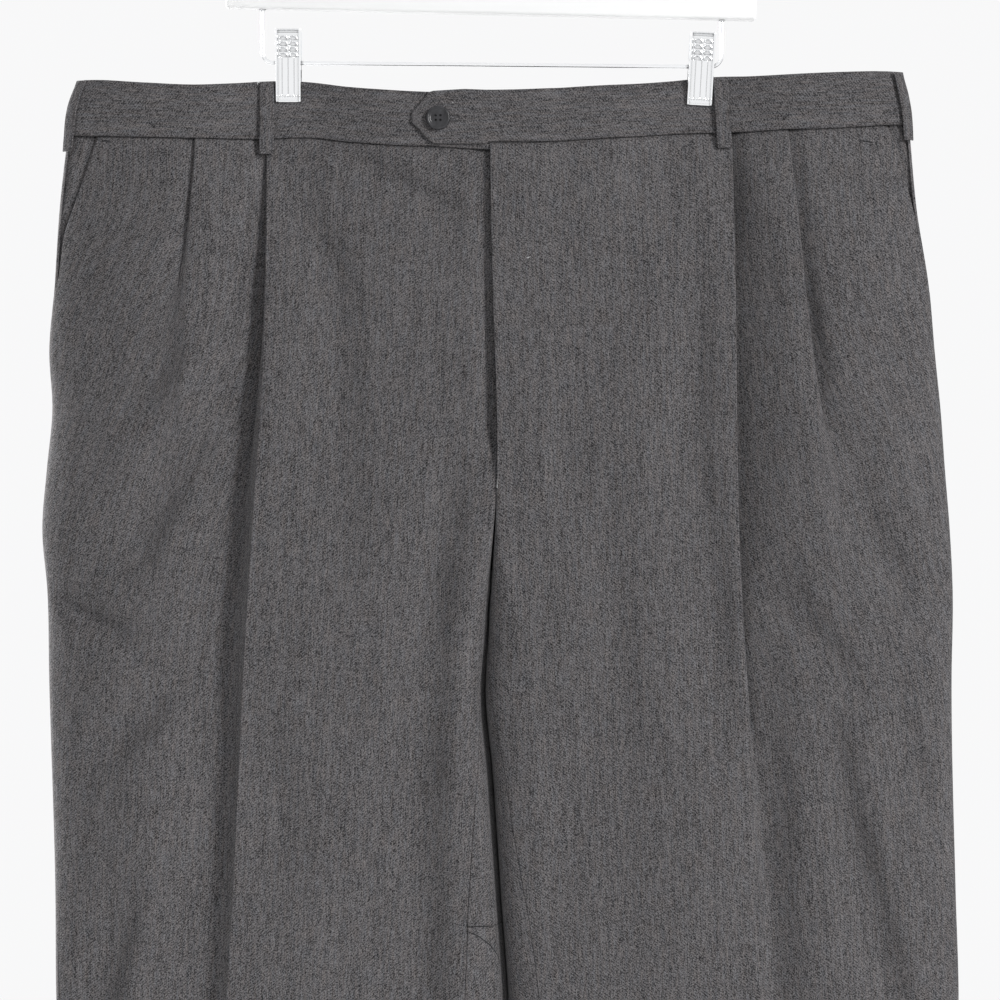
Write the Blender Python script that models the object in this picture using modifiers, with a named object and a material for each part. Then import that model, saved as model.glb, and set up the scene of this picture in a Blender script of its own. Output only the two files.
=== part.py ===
"""Pleated dress trousers hung by the waistband from a two-clip bar hanger.

The origin is the inside of the hook's crown, +Z is up and the wearer's front faces -Y, so the
wearer's right leg is on -X. Tables and sizes are in millimetres and "drop" is the distance below
the origin. "m" is the distance from the middle plane out towards a side, on either side.
"""
import math

import bmesh
import bpy
import numpy as np
from mathutils import Vector

MM = 0.001
SIGN = {"right": -1, "left": 1}

# Cloth
WALL = 1.2
BAND_WALL = 2.4
LOOP_WALL = 1.6
SEAM_GAP = 0.3
HALF_GAP = SEAM_GAP / 2
SIDE_ROUND = 112
LAST_TURN = 5
FOLD_RADIUS = 1.1
FOLD_DEPTHS = (20, 15)
PLEAT_POINTS = (4, 3)
OPEN_BEFORE = 5
OPEN_AFTER = 20
HOLLOW_RUN = 34
FLY_LAP = 8
FLY_RAISE = 2.2
TAB_RAISE = 2.7
FLY_END = 431
CROTCH_TOP = 451
FORK = 519
FORK_PIECE_END = 772
POCKET_END = 312
SEAM_LEVEL = 194
SAG_END = 409
BAND_END = 26
FACING_UNDER = 14
FACING_SINK = 2.8

# Hanger
BAR = (391, 12, 40)
BAR_DROP = 82.4
BAR_TILT = 1.35
BAR_EDGE = 2.5
ROD_WIRE = 1.5
HOOK_RADIUS = 19
HOOK_WIRE = 1.9
PLATE = (18.6, 1.0, 53.8)
CLIP_TOP = 113.6
CLIP_LEAN = 6.2
JAW_GAP = 3.1
EAR_DEPTH = 9.8


def table(names, *rows):
    """Named columns from rows; the first column is what the others are read against."""
    return dict(zip(names.split(), np.array(rows, float).T))


SIDES = table(
    "drop right left",
    (144, 301, 301),
    (172, 310, 306.5),
    (195, 312.5, 308.5),
    (240, 317.5, 312.5),
    (305, 322, 322.5),
    (350, 325.7, 326.4),
    (394, 323.4, 330.8),
    (438, 327.5, 334),
    (482, 330.8, 337.5),
    (527, 327.1, 339.7),
    (593, 325.7, 338.9),
    (748, 321.2, 341.9),
    (829, 320.5, 344.1),
    (930, 316, 340),
    (1060, 306, 328),
    (1180, 294, 314),
    (1279, 285, 303),
)

# Where each leg's inner edge hangs, on the X axis. Above CROTCH_TOP it is the centre seam.
MIDDLE = table(
    "drop right left",
    (144, -1.1, -1.1),
    (197, -1.1, -1.1),
    (313, 1.1, 1.1),
    (409, 4.1, 4.1),
    (451, 4.1, 4.1),
    (480, 1.4, 3.2),
    (519, -1.6, 0.6),
    (560, -4.2, -2.0),
    (600, -7.4, -4.0),
    (660, -2.8, 1.5),
    (700, 0.2, 4.2),
    (748, 3.4, 7.3),
    (829, 8.3, 14.0),
    (930, 5, 22),
    (1060, -5, 31),
    (1180, -15, 37),
    (1279, -22, 41),
)

# Half depth of the front and back, and how hard the clips still press them together.
DEPTH = table(
    "drop front back pinch",
    (144, 10, 10, 1),
    (168, 10, 11, 1),
    (194, 12.5, 14, 0.72),
    (220, 16, 18, 0.45),
    (260, 21, 26, 0.2),
    (310, 25, 33, 0.05),
    (355, 27, 37, 0),
    (451, 30, 40, 0),
    (519, 30, 38, 0),
    (620, 28, 33, 0),
    (830, 25, 28, 0),
    (1060, 22, 25, 0),
    (1279, 20, 23, 0),
)

# Fly-side fold edge of each pleat, how far it has opened, and the step under it.
PLEATS = table(
    "drop right1 left1 right2 left2 open1 open2 step1 step2",
    (184, 165, 176.5, 217, 216.5, 0, 0, 4.4, 4.4),
    (250, 165, 177.5, 221, 224, 0.05, 0.3, 5, 4),
    (313, 165, 178, 223.5, 229.5, 0.2, 0.6, 6.5, 3.2),
    (409, 170, 179, 228, 239, 0.5, 0.9, 9.5, 2),
    (480, 175, 180, 232, 244, 0.75, 1, 10.5, 1.2),
    (600, 182.5, 184, 236, 248, 1, 1, 9.5, 0.6),
    (740, 189, 190, 238, 250, 1, 1, 7.5, 0.3),
    (829, 194, 195, 240, 250, 1, 1, 6.5, 0.3),
    (1060, 184, 192, 226, 240, 1, 1, 3.5, 0.3),
    (1279, 171, 183, 208, 224, 1, 1, 2.5, 0.3),
)

# Rounding of each leg's inner edge, the seam's place on it as a share of the depth, and how far
# round on the front the inseam lies.
FORKS = table(
    "drop round turn front back inseam_right inseam_left",
    (451, 3, 0.05, -1, 1, 0, 0),
    (480, 5, 0.12, -0.86, 0.86, 0, 0),
    (500, 9, 0.3, -0.58, 0.6, 0, 0),
    (519, 15, 0.55, 0, 0, 0, 0),
    (560, 30, 1, 0, 0, 0.3, 0.3),
    (620, 55, 1, 0, 0, 2.5, 5.5),
    (700, 80, 1, 0, 0, 13.5, 11.5),
    (772, 90, 1, 0, 0, 22.5, 19),
    (829, 95, 1, 0, 0, 28, 21.5),
    (1060, 100, 1, 0, 0, 26, 20),
    (1279, 95, 1, 0, 0, 22, 18),
)

# Top edge and lower seam of the waistband against m, as drops.
BAND = table(
    "m top_right seam_right top_left seam_left",
    (-30, 159.6, 203, 159.2, 197.4),
    (4, 159.8, 202.9, 159.2, 197.4),
    (45, 160.4, 200.6, 157.8, 197),
    (70, 159.3, 199.8, 156.2, 195.3),
    (105, 156.3, 196.9, 154.2, 193.2),
    (135, 152.3, 193.5, 151.5, 190.8),
    (168, 151.9, 194.5, 148.4, 189.9),
    (190, 153.5, 194.7, 148.3, 189.2),
    (215, 154.9, 194.4, 147.5, 188),
    (255, 153.3, 193.6, 145.6, 186.9),
    (288, 151.2, 192.5, 144.6, 184.4),
    (345, 151.2, 192, 146, 184),
)

# The tab, from its point to the fly, against X.
TAB = table(
    "x top bottom",
    (-58.6, 178, 181.6),
    (-57.8, 175.4, 184),
    (-45.4, 160.8, 197),
    (-43, 160, 199.2),
    (-20, 158.6, 199.2),
    (-4, 159.2, 199),
    (-1.5, 159.2, 197.4),
)

# Slanted front pocket edges against the drop.
POCKETS = table(
    "drop right left",
    (184, 286.5, 290),
    (204, 293, 299),
    (242, 306, 309.4),
    (264, 314, 314.8),
    (296, 318.5, 320.2),
    (312, 322.6, 323.2),
)

# Largest soft folds of the front, as troughs from one point to another on X and drop.
FOLDS = table(
    "x0 drop0 x1 drop1 width depth",
    (-204, 400, -262, 520, 20, 5),
    (-112, 270, -104, 560, 20, 2.5),
    (-24, 470, -48, 780, 18, 4),
    (162, 270, 164, 520, 16, 2.5),
    (222, 505, 272, 600, 18, 3),
    (250, 640, 290, 820, 18, 4),
)

ROWS = (0, 212, 252, 292, POCKET_END, 355, 409, FLY_END, CROTCH_TOP, 480, 500, FORK, 560, 620)
ROWS += (700, FORK_PIECE_END, 880, 1060, 1279)

# Each clip's m and its lean in degrees, and where the rod's ends leave the bar.
CLIPS = {"right": (149.6, 0), "left": (154.5, 3)}
ROD = {"right": (-168.9, 137.8), "left": (169.8, 140.8)}
ROD_BEND = 8
ROD_SINK = 12
LOOPS = {"front_right": ("right", -1, 165.4, 0), "front_left": ("left", -1, 170.2, 3)}

COLOURS = {
    "wool": ((0.108, 0.104, 0.104, 1), 0.9, 0),
    "horn": ((0.03, 0.03, 0.032, 1), 0.35, 0),
    "chrome": ((0.72, 0.73, 0.74, 1), 0.12, 1),
    "white_lacquer": ((0.86, 0.86, 0.86, 1), 0.3, 0),
}


def read(columns, name, where):
    """One column's value on a smooth curve through its rows."""
    x = next(iter(columns.values()))
    y = columns[name]
    slope = np.gradient(y, x)
    k = int(np.clip(np.searchsorted(x, where) - 1, 0, len(x) - 2))
    h = x[k + 1] - x[k]
    t = min(max((where - x[k]) / h, 0.0), 1.0)
    a = (1 + 2 * t) * (1 - t) ** 2 * y[k] + t * t * (3 - 2 * t) * y[k + 1]
    b = t * (1 - t) ** 2 * slope[k] - t * t * (1 - t) * slope[k + 1]
    return float(a + h * b)


def line(columns, name, where):
    """One column's value on straight lines between its rows."""
    return float(np.interp(where, next(iter(columns.values())), columns[name]))


def ease(t):
    """A smooth step from 0 to 1."""
    t = min(max(t, 0.0), 1.0)
    return t * t * (3 - 2 * t)


def pinch(side, m):
    """1 where a clip presses the waist flat, 0 away from it."""
    return 1 - ease((abs(m - CLIPS[side][0]) - 14) / 62)


def relief(x, drop):
    """How far the large soft folds push the front inward."""
    push = 0.0
    for x0, d0, x1, d1, width, depth in zip(*FOLDS.values()):
        along = ((x - x0) * (x1 - x0) + (drop - d0) * (d1 - d0)) / ((x1 - x0) ** 2 + (d1 - d0) ** 2)
        near = min(max(along, 0.0), 1.0)
        away = math.hypot(x - x0 - near * (x1 - x0), drop - d0 - near * (d1 - d0))
        push += depth * math.exp(-((away / width) ** 2)) * math.sin(math.pi * (0.15 + 0.7 * near))
    return push


def swell(side, m, drop):
    """Share of the full depth that the skin has near the side fold."""
    out = read(SIDES, side, drop) - m
    if out >= SIDE_ROUND:
        return 1.0
    return math.sqrt(max(0.0, 1 - (1 - out / SIDE_ROUND) ** 2))


def half_depth(side, face, m, drop):
    """Distance of the cloth's middle from the plane between front and back."""
    full = read(DEPTH, "front" if face < 0 else "back", drop) * swell(side, m, drop)
    pressed = min(full, 1.6)
    free = 1 - pinch(side, m) * read(DEPTH, "pinch", drop)
    depth = pressed + (full - pressed) * free
    if face < 0 and drop > 205:
        depth -= relief(SIGN[side] * m, drop) * min(1.0, full / 15)
    return depth


def place(side, m, y, drop):
    return Vector((SIGN[side] * m, y, -drop)) * MM


def skin(side, face, m, drop, out=0.0):
    """A point of the front (face -1) or back (face 1), moved out by a distance."""
    step = 1.0
    rise = half_depth(side, face, m, drop)
    slope = (half_depth(side, face, m - step, drop) - rise) / step
    normal = Vector((SIGN[side] * slope, face)).normalized()
    return place(side, m, face * rise, drop) + Vector((normal.x, normal.y, 0)) * out * MM


def around(side, turn, drop, out=0.0):
    """A point round the side fold: turn is 0 at the fold, -90 in front and 90 behind."""
    a = math.radians(turn)
    face = -1 if turn < 0 else 1
    m = read(SIDES, side, drop) - SIDE_ROUND * (1 - math.cos(a))
    depth = half_depth(side, face, m, drop)
    full = max(read(DEPTH, "front" if face < 0 else "back", drop), 1.0)
    normal = Vector((math.cos(a) * full, math.sin(a) * SIDE_ROUND)).normalized()
    y = face * depth + normal.y * out
    return place(side, m + normal.x * out, y, drop)


def turn_of(side, m, drop):
    """The turn round the side fold at which the skin is at m, in degrees."""
    out = max(read(SIDES, side, drop) - m, 0.0)
    return math.degrees(math.acos(max(1 - out / SIDE_ROUND, -1.0)))


def level(side, m, row):
    """Drop of a row at m: rows follow the waist seam's sag at the top and are level lower down."""
    if row == 0:
        return line(BAND, "seam_" + side, m) + SEAM_GAP
    sag = line(BAND, "seam_" + side, m) - SEAM_LEVEL
    return row + sag * (1 - ease((row - SEAM_LEVEL) / (SAG_END - SEAM_LEVEL)))


def inner_path(side, face, drop, seam):
    """Dense path of a leg's inner edge from its seam out to the flat of the front or back."""
    x = read(MIDDLE, side, drop)
    edge = SIGN[side] * x
    radius = read(FORKS, "round", drop)
    turn = read(FORKS, "turn", drop)
    inseam = read(FORKS, "inseam_" + side, drop)
    depth = half_depth(side, face, edge + radius, drop)
    points = []
    if face < 0 and drop > FORK and inseam > 0:
        start = math.acos(max(1 - (inseam + HALF_GAP) / radius, 0.0))
    else:
        start = 0.0
        if drop <= FORK:
            points.append((edge + HALF_GAP, seam * depth))
    if face > 0 and drop > FORK and inseam > 0:
        front = half_depth(side, -1, edge + radius, drop)
        begin = math.acos(max(1 - (inseam - HALF_GAP) / radius, 0.0))
        for a in np.linspace(begin, 0.04, 12):
            points.append((edge + radius * (1 - math.cos(a)), -front * math.sin(a)))
    elif drop > FORK:
        start = max(start, 0.012)
    for a in np.linspace(start, math.pi / 2, 24):
        y = depth * (1 - turn + turn * math.sin(a))
        points.append((edge + HALF_GAP * (drop <= FORK) + radius * (1 - math.cos(a)), face * y))
    return points


def spread(path, count):
    """Points along a path of (m, y), closest together at its start."""
    path = np.array(path)
    runs = np.hypot(*np.diff(path, axis=0).T)
    length = np.concatenate([[0], np.cumsum(runs)])
    steps = length[-1] * np.linspace(0, 1, count) ** 1.8
    return [(np.interp(s, length, path[:, 0]), np.interp(s, length, path[:, 1])) for s in steps]


def pleat(side, index, row):
    """The (m, sink) points through a pleat, folded in three at the waist and opening below."""
    depth = FOLD_DEPTHS[index - 1]
    ridge = read(PLEATS, side + str(index), row)
    opened = ease(read(PLEATS, "open" + str(index), row))
    step = read(PLEATS, "step" + str(index), row)
    r = FOLD_RADIUS
    points = []
    bend = PLEAT_POINTS[index - 1]
    for k in range(2 * bend):
        a = math.pi * (k % bend) / (bend - 1)
        if k < bend:
            m, sink = ridge - r + r * math.sin(a), r - r * math.cos(a)
        else:
            m, sink = ridge - depth + r - r * math.sin(a), 3 * r - r * math.cos(a)
        t = k / (2 * bend - 1)
        wide = ridge - OPEN_BEFORE + (OPEN_BEFORE + OPEN_AFTER) * t
        points.append((m + (wide - m) * opened, sink + (step * ease(t) - sink) * opened))
    return points


def fly_raise(m, row):
    """How far the left front stands out where it laps over the right one."""
    if row > CROTCH_TOP:
        return 0.0
    return FLY_RAISE * (1 - ease((m - 36) / 18))


def front_row(side, row):
    """All points of one row of a front panel, from the fly or inseam to the side."""
    middle = level(side, 20, row)
    points = []
    if row <= CROTCH_TOP:
        edge = SIGN[side] * read(MIDDLE, side, middle) + HALF_GAP
        if side == "right" and row <= FLY_END:
            edge -= FLY_LAP
        inner = [(m, 0.0) for m in np.linspace(edge, edge + 36, 5)]
    else:
        drop = level(side, 5, row)
        inner = spread(inner_path(side, -1, drop, read(FORKS, "front", drop)), 5)
    pleats = [pleat(side, n, max(row, SEAM_LEVEL)) for n in (1, 2)]
    for m, y in inner:
        drop = level(side, m, row)
        if row <= CROTCH_TOP:
            out = fly_raise(m, row) if side == "left" else 0.0
            y = -half_depth(side, -1, m, drop) - out
        points.append(place(side, m, y, drop))
    first = inner[-1][0]
    for m in np.linspace(first, pleats[0][0][0], 8)[1:-1]:
        drop = level(side, m, row)
        out = fly_raise(m, row) if side == "left" else 0.0
        points.append(place(side, m, -half_depth(side, -1, m, drop) - out, drop))
    stations = list(pleats[0])
    start, sunk = pleats[0][-1]
    run = max(read(PLEATS, side + "1", max(row, SEAM_LEVEL)), start) + 4
    for m in np.linspace(start, pleats[1][0][0], 6)[1:-1]:
        stations.append((m, sunk * (1 - ease((m - run) / HOLLOW_RUN))))
    stations += pleats[1]
    for m, sink in stations:
        drop = level(side, m, row)
        points.append(place(side, m, sink - half_depth(side, -1, m, drop), drop))
    start, sunk = pleats[1][-1]
    drop = level(side, 300, row)
    begin = turn_of(side, start, drop)
    end = 0.0
    if drop < POCKET_END:
        end = turn_of(side, line(POCKETS, side, drop), drop)
    for turn in np.linspace(begin, max(end, LAST_TURN), 7)[1:]:
        m = read(SIDES, side, drop) - SIDE_ROUND * (1 - math.cos(math.radians(turn)))
        here = level(side, m, row)
        sink = sunk * (1 - ease((m - start - 18) / HOLLOW_RUN))
        point = around(side, -turn, here)
        point.y += sink * MM
        points.append(point)
    edge = points[-1].copy()
    if end > LAST_TURN:
        points.insert(-1, (points[-2] + edge) / 2)
    else:
        edge.y = -HALF_GAP * MM
        points.append(edge)
    return points


def back_row(side, row):
    """All points of one row of a back panel, from the side fold to the middle or the inseam."""
    points = []
    for turn in np.linspace(LAST_TURN, 90, 6):
        drop = level(side, 300, row)
        m = read(SIDES, side, drop) - SIDE_ROUND * (1 - math.cos(math.radians(turn)))
        points.append(around(side, turn, level(side, m, row)))
    edge = points[0].copy()
    edge.y = HALF_GAP * MM
    points.insert(0, edge)
    outer = m
    if row <= CROTCH_TOP:
        edge = SIGN[side] * read(MIDDLE, side, level(side, 20, row)) + HALF_GAP
        inner = [(m, 0.0) for m in np.linspace(edge, edge + 36, 7)]
    else:
        drop = level(side, 5, row)
        inner = spread(inner_path(side, 1, drop, read(FORKS, "back", drop)), 7)
    for m in np.linspace(outer, inner[-1][0], 6)[1:-1]:
        drop = level(side, m, row)
        points.append(place(side, m, half_depth(side, 1, m, drop), drop))
    for m, y in reversed(inner):
        drop = level(side, m, row)
        if row <= CROTCH_TOP:
            y = half_depth(side, 1, m, drop)
        points.append(place(side, m, y, drop))
    return points


def sheet(name, rows, wall, colour):
    """A cloth wall from rows of points, thickened about its middle."""
    width = len(rows[0])
    mesh = bpy.data.meshes.new(name)
    faces = []
    for i in range(len(rows) - 1):
        for j in range(width - 1):
            k = i * width + j
            faces.append((k, k + 1, k + width + 1, k + width))
    mesh.from_pydata([p for row in rows for p in row], [], faces)
    mesh.update()
    ob = add(name, mesh, colour)
    thick = ob.modifiers.new("Wall", "SOLIDIFY")
    thick.thickness = wall * MM
    thick.offset = 0
    thick.use_even_offset = True
    for polygon in mesh.polygons:
        polygon.use_smooth = True
    return ob


def inset(rows, top, bottom, left, right):
    """Moves the named borders of a grid in by the seam gap."""
    rows = [[p.copy() for p in row] for row in rows]
    gap = SEAM_GAP * MM
    for here, towards, wanted in ((0, 1, top), (-1, -2, bottom)):
        if wanted:
            for p, q in zip(rows[here], rows[towards]):
                p += (q - p).normalized() * gap
    for here, towards, wanted in ((0, 1, left), (-1, -2, right)):
        if wanted:
            for row in rows:
                row[here] += (row[towards] - row[here]).normalized() * gap
    return rows


def add(name, data, colour):
    """One named object with its own material, in the trousers' collection."""
    ob = bpy.data.objects.new(name, data)
    PARTS.objects.link(ob)
    base, rough, metal = COLOURS[colour]
    material = bpy.data.materials.new(name + "_" + colour)
    material.use_nodes = True
    shader = material.node_tree.nodes["Principled BSDF"]
    shader.inputs["Base Color"].default_value = base
    shader.inputs["Roughness"].default_value = rough
    shader.inputs["Metallic"].default_value = metal
    data.materials.append(material)
    return ob


def make_fronts():
    for side in SIGN:
        sheet("front_" + side, [front_row(side, row) for row in ROWS], WALL, "wool")


def make_backs():
    for side in SIGN:
        rows = [back_row(side, row) for row in ROWS]
        if side == "left":
            sheet("back_left", rows, WALL, "wool")
            continue
        first, last = ROWS.index(FORK), ROWS.index(FORK_PIECE_END)
        cut = len(rows[0]) - 5
        piece = [row[cut:] for row in rows[first : last + 1]]
        sheet("fork_piece_right", inset(piece, True, True, True, False), WALL, "wool")
        notched_back(rows, first, last, cut)


def notched_back(rows, first, last, cut):
    """The right back, whose grid leaves out the fork piece beside the inseam."""
    width = len(rows[0])
    mesh = bpy.data.meshes.new("back_right")
    faces = []
    for i in range(len(rows) - 1):
        for j in range(width - 1):
            if not (first <= i < last and j >= cut):
                k = i * width + j
                faces.append((k, k + 1, k + width + 1, k + width))
    mesh.from_pydata([p for row in rows for p in row], [], faces)
    form = bmesh.new()
    form.from_mesh(mesh)
    bmesh.ops.delete(form, geom=[v for v in form.verts if not v.link_faces], context="VERTS")
    form.to_mesh(mesh)
    form.free()
    ob = add("back_right", mesh, "wool")
    thick = ob.modifiers.new("Wall", "SOLIDIFY")
    thick.thickness = WALL * MM
    thick.offset = 0
    thick.use_even_offset = True


def make_facings():
    """The strip that shows between each slanted pocket edge and the side."""
    for side in SIGN:
        rows = []
        for row in ROWS[:6]:
            drop = level(side, 300, row)
            fold = read(SIDES, side, drop)
            edge = min(line(POCKETS, side, drop), fold) - FACING_UNDER
            points = []
            under = LAST_TURN
            if row < POCKET_END:
                under = turn_of(side, edge + FACING_UNDER, drop)
            for turn in np.linspace(turn_of(side, edge, drop), LAST_TURN, 7):
                m = fold - SIDE_ROUND * (1 - math.cos(math.radians(turn)))
                sink = FACING_SINK * (1 - ease((under - turn - 5) / 10))
                points.append(around(side, -turn, level(side, m, row), -sink))
            end = points[-1].copy()
            end.y = -HALF_GAP * MM
            rows.append(points + [end])
        sheet("pocket_facing_" + side, rows, WALL, "wool")


def make_fly_shield():
    """The underlap that closes the fly from behind, on the right front's edge."""
    rows = []
    for drop in (204.2, 250, 300, 355, 395, 425):
        middle = read(MIDDLE, "left", drop)
        width = 38 - 16 * ease((drop - 380) / 45)
        points = []
        for m in np.linspace(middle - 7, middle + width, 4):
            y = -half_depth("left", -1, m, drop) + WALL + SEAM_GAP + 0.2
            points.append(place("left", m, y, drop))
        rows.append(points)
    sheet("fly_shield", rows, WALL, "wool")


def band_rows(side, stations, back):
    """Four rows of a waistband half through front stations, the side fold and back stations."""
    rows = []
    for share in (0, 0.38, 0.7, 1):
        points = []
        for m in stations:
            top, bottom = line(BAND, "top_" + side, m), line(BAND, "seam_" + side, m)
            raised = 0.0
            if side == "left":
                raised = TAB_RAISE * (1 - ease((m - 36) / 16))
                if m < TAB["x"][-1]:
                    top, bottom = line(TAB, "top", m), line(TAB, "bottom", m)
            drop = top + (bottom - top) * share
            points.append(place(side, m, -half_depth(side, -1, m, drop) - raised, drop))
        for turn in (-44, -32, -22, -14, -7, 0, 7, 14, 22, 32, 44):
            fold = read(SIDES, side, 160)
            m = fold - SIDE_ROUND * (1 - math.cos(math.radians(turn)))
            top, bottom = line(BAND, "top_" + side, m), line(BAND, "seam_" + side, m)
            points.append(around(side, turn, top + (bottom - top) * share))
        for m in back:
            top, bottom = line(BAND, "top_" + side, m), line(BAND, "seam_" + side, m)
            drop = top + (bottom - top) * share
            points.append(place(side, m, half_depth(side, 1, m, drop), drop))
        rows.append(points)
    return rows


def make_waistband():
    for side in SIGN:
        clip = CLIPS[side][0]
        front = [36, 44, 60, 78, 98, clip - 30, clip - 14, clip + 14, clip + 22, clip + 32, 205, 235, 258]
        if side == "left":
            front = list(TAB["x"]) + [20] + front
        else:
            front = [-BAND_END, 0] + front
        back = [258, 235, 205, clip + 30, clip + 14, clip - 14, clip - 30, 98, 60, 30]
        back.append(SIGN[side] * MIDDLE["left"][0] + HALF_GAP)
        sheet("waistband_" + side, band_rows(side, front, back), BAND_WALL, "wool")


def loop_strip(name, side, point_at):
    """A belt loop: sewn down at both ends and standing off the band between them."""
    rows = []
    base = BAND_WALL / 2 + SEAM_GAP + LOOP_WALL / 2 + 0.1
    for share, stand in ((0, 0), (0.12, 0), (0.3, 0.9), (0.6, 1.1), (0.86, 0.7), (1, 0.2)):
        rows.append([point_at(share, across, base + stand) for across in (-5.5, 0, 5.5)])
    sheet("belt_loop_" + name, rows, LOOP_WALL, "wool")


def make_belt_loops():
    reach = 11.5

    def drops(side, m, share):
        top, bottom = line(BAND, "top_" + side, m) + 0.6, line(BAND, "seam_" + side, m) + reach
        return top + (bottom - top) * share

    def flat(side, face, middle, lean):
        def point_at(share, across, out):
            m = middle + across + lean * (share - 0.5)
            return skin(side, face, m, drops(side, m, share), out)

        return point_at

    def folded(side, turn):
        def point_at(share, across, out):
            drop = drops(side, 300, share)
            return around(side, turn + across * 1.25, drop, out + 0.35)

        return point_at

    for name, (side, face, middle, lean) in LOOPS.items():
        loop_strip(name, side, flat(side, face, middle, lean))
    for side in SIGN:
        loop_strip("side_" + side, side, folded(side, -9))
        loop_strip("back_" + side, side, flat(side, 1, 185, 0))

    def centre(share, across, out):
        side = "right" if across < 0 else "left"
        return skin(side, 1, abs(across), drops("left", 0, share), out)

    loop_strip("centre_back", "left", centre)


def make_button():
    """A four-hole button with a raised rim, on the tab's point."""
    x, drop, radius = -39.2, 180.3, 9.0
    shape = bmesh.new()
    profile = [(0, 0), (8.2, 0), (9, 0.7), (9, 2.1), (8.4, 2.8), (7.4, 2.8), (6.6, 2.2), (0, 2.0)]
    points = [shape.verts.new((r * MM, 0, -h * MM)) for r, h in profile]
    for a, b in zip(points, points[1:]):
        shape.edges.new((a, b))
    mesh = bpy.data.meshes.new("button")
    shape.to_mesh(mesh)
    shape.free()
    ob = add("button", mesh, "horn")
    turned = ob.modifiers.new("Turned", "SCREW")
    turned.axis = "Z"
    turned.steps = turned.render_steps = 20
    turned.use_merge_vertices = True
    turned.merge_threshold = 0.00001
    turned.use_normal_calculate = True
    seat = half_depth("left", -1, x, drop) + TAB_RAISE + BAND_WALL / 2 + SEAM_GAP + 0.1
    rise = half_depth("left", -1, x, drop + radius) - half_depth("left", -1, x, drop - radius)
    ob.location = Vector((x, -seat, -drop)) * MM
    ob.rotation_euler = (math.radians(-90) - math.atan(rise / (2 * radius)), 0, 0)
    for sx in (-1, 1):
        for sz in (-1, 1):
            hole = cylinder("button_hole", 0.9, 12, (x + sx * 1.5, -seat, -drop + sz * 1.5), "Y", 10)
            cut(ob, hole)


def cylinder(name, radius, length, middle, axis, sides=16):
    """A wire-displayed cutter, in its own collection."""
    bpy.ops.mesh.primitive_cylinder_add(vertices=sides, radius=radius * MM, depth=length * MM)
    ob = bpy.context.object
    ob.name = name
    for group in list(ob.users_collection):
        group.objects.unlink(ob)
    CUTTERS.objects.link(ob)
    ob.location = Vector(middle) * MM
    ob.rotation_euler = {"X": (0, math.pi / 2, 0), "Y": (math.pi / 2, 0, 0), "Z": (0, 0, 0)}[axis]
    ob.hide_render = True
    ob.display_type = "WIRE"
    return ob


def cut(ob, tool, operation="DIFFERENCE"):
    modifier = ob.modifiers.new(operation.title(), "BOOLEAN")
    modifier.operation = operation
    modifier.solver = "EXACT"
    modifier.object = tool


def box(name, size, middle, colour=None):
    """A box with its scale applied; a cutter where no colour is given."""
    shape = bmesh.new()
    bmesh.ops.create_cube(shape, size=1)
    bmesh.ops.scale(shape, vec=Vector(size) * MM, verts=shape.verts)
    mesh = bpy.data.meshes.new(name)
    shape.to_mesh(mesh)
    shape.free()
    if colour:
        ob = add(name, mesh, colour)
    else:
        ob = bpy.data.objects.new(name, mesh)
        CUTTERS.objects.link(ob)
        ob.hide_render = True
        ob.display_type = "WIRE"
    ob.location = Vector(middle) * MM
    return ob


def wire(name, points, radius, colour):
    """A round wire through the points."""
    curve = bpy.data.curves.new(name, "CURVE")
    curve.dimensions = "3D"
    curve.bevel_depth = radius * MM
    curve.bevel_resolution = 2
    curve.use_fill_caps = True
    spline = curve.splines.new("POLY")
    spline.points.add(len(points) - 1)
    for target, p in zip(spline.points, points):
        target.co = (p[0] * MM, p[1] * MM, p[2] * MM, 1)
    return add(name, curve, colour)


def rod_drop(x):
    """Drop of the rod's level run at x."""
    (x0, d0), (x1, d1) = ROD["right"], ROD["left"]
    return d0 + (d1 - d0) * (x - x0) / (x1 - x0)


def bar_bottom(x):
    """Drop of the tilted bar's underside at x."""
    return BAR_DROP + BAR[2] / 2 + x * math.tan(math.radians(BAR_TILT))


def make_hanger():
    """White bar, swivel hook and the U-shaped rod that the clips ride on."""
    bar = box("hanger_bar", BAR, (0, 0, -BAR_DROP), "white_lacquer")
    bar.rotation_euler = (0, math.radians(BAR_TILT), 0)
    edge = bar.modifiers.new("Edge", "BEVEL")
    edge.width = BAR_EDGE * MM
    edge.segments = 3
    cut(bar, cylinder("hook_hole", HOOK_WIRE + 0.35, 24, (0, 0, -BAR_DROP + BAR[2] / 2), "Z"))
    path = []
    for side, (x, drop) in ROD.items():
        low = bar_bottom(x)
        cut(bar, cylinder("rod_hole", ROD_WIRE + 0.35, 2 * ROD_SINK + 3, (x, 0, -low), "Z"))
        run = [(x, 0, -low + ROD_SINK - 0.8), (x, 0, -low - 4)]
        for a in np.radians(np.linspace(0, 90, 6)):
            inward = -SIGN[side] * ROD_BEND * (1 - math.cos(a))
            run.append((x + inward, 0, -drop + ROD_BEND - ROD_BEND * math.sin(a)))
        path += run if side == "right" else list(reversed(run))
    wire("trouser_rod", path, ROD_WIRE, "chrome")
    middle = -HOOK_RADIUS
    centre = HOOK_RADIUS + HOOK_WIRE
    shank = [(0, 0, -BAR_DROP + BAR[2] / 2 - 10), (0, 0, -BAR_DROP + BAR[2] / 2 + 6)]
    shank += [(-0.9, 0, middle - centre - 2.2), (-4.2, 0, middle - centre + 0.9)]
    arc = [(centre * math.cos(math.radians(a)), 0, middle + centre * math.sin(math.radians(a)))
           for a in np.linspace(248, -12, 22)]
    wire("hanger_hook", shank + arc, HOOK_WIRE, "chrome")


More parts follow.
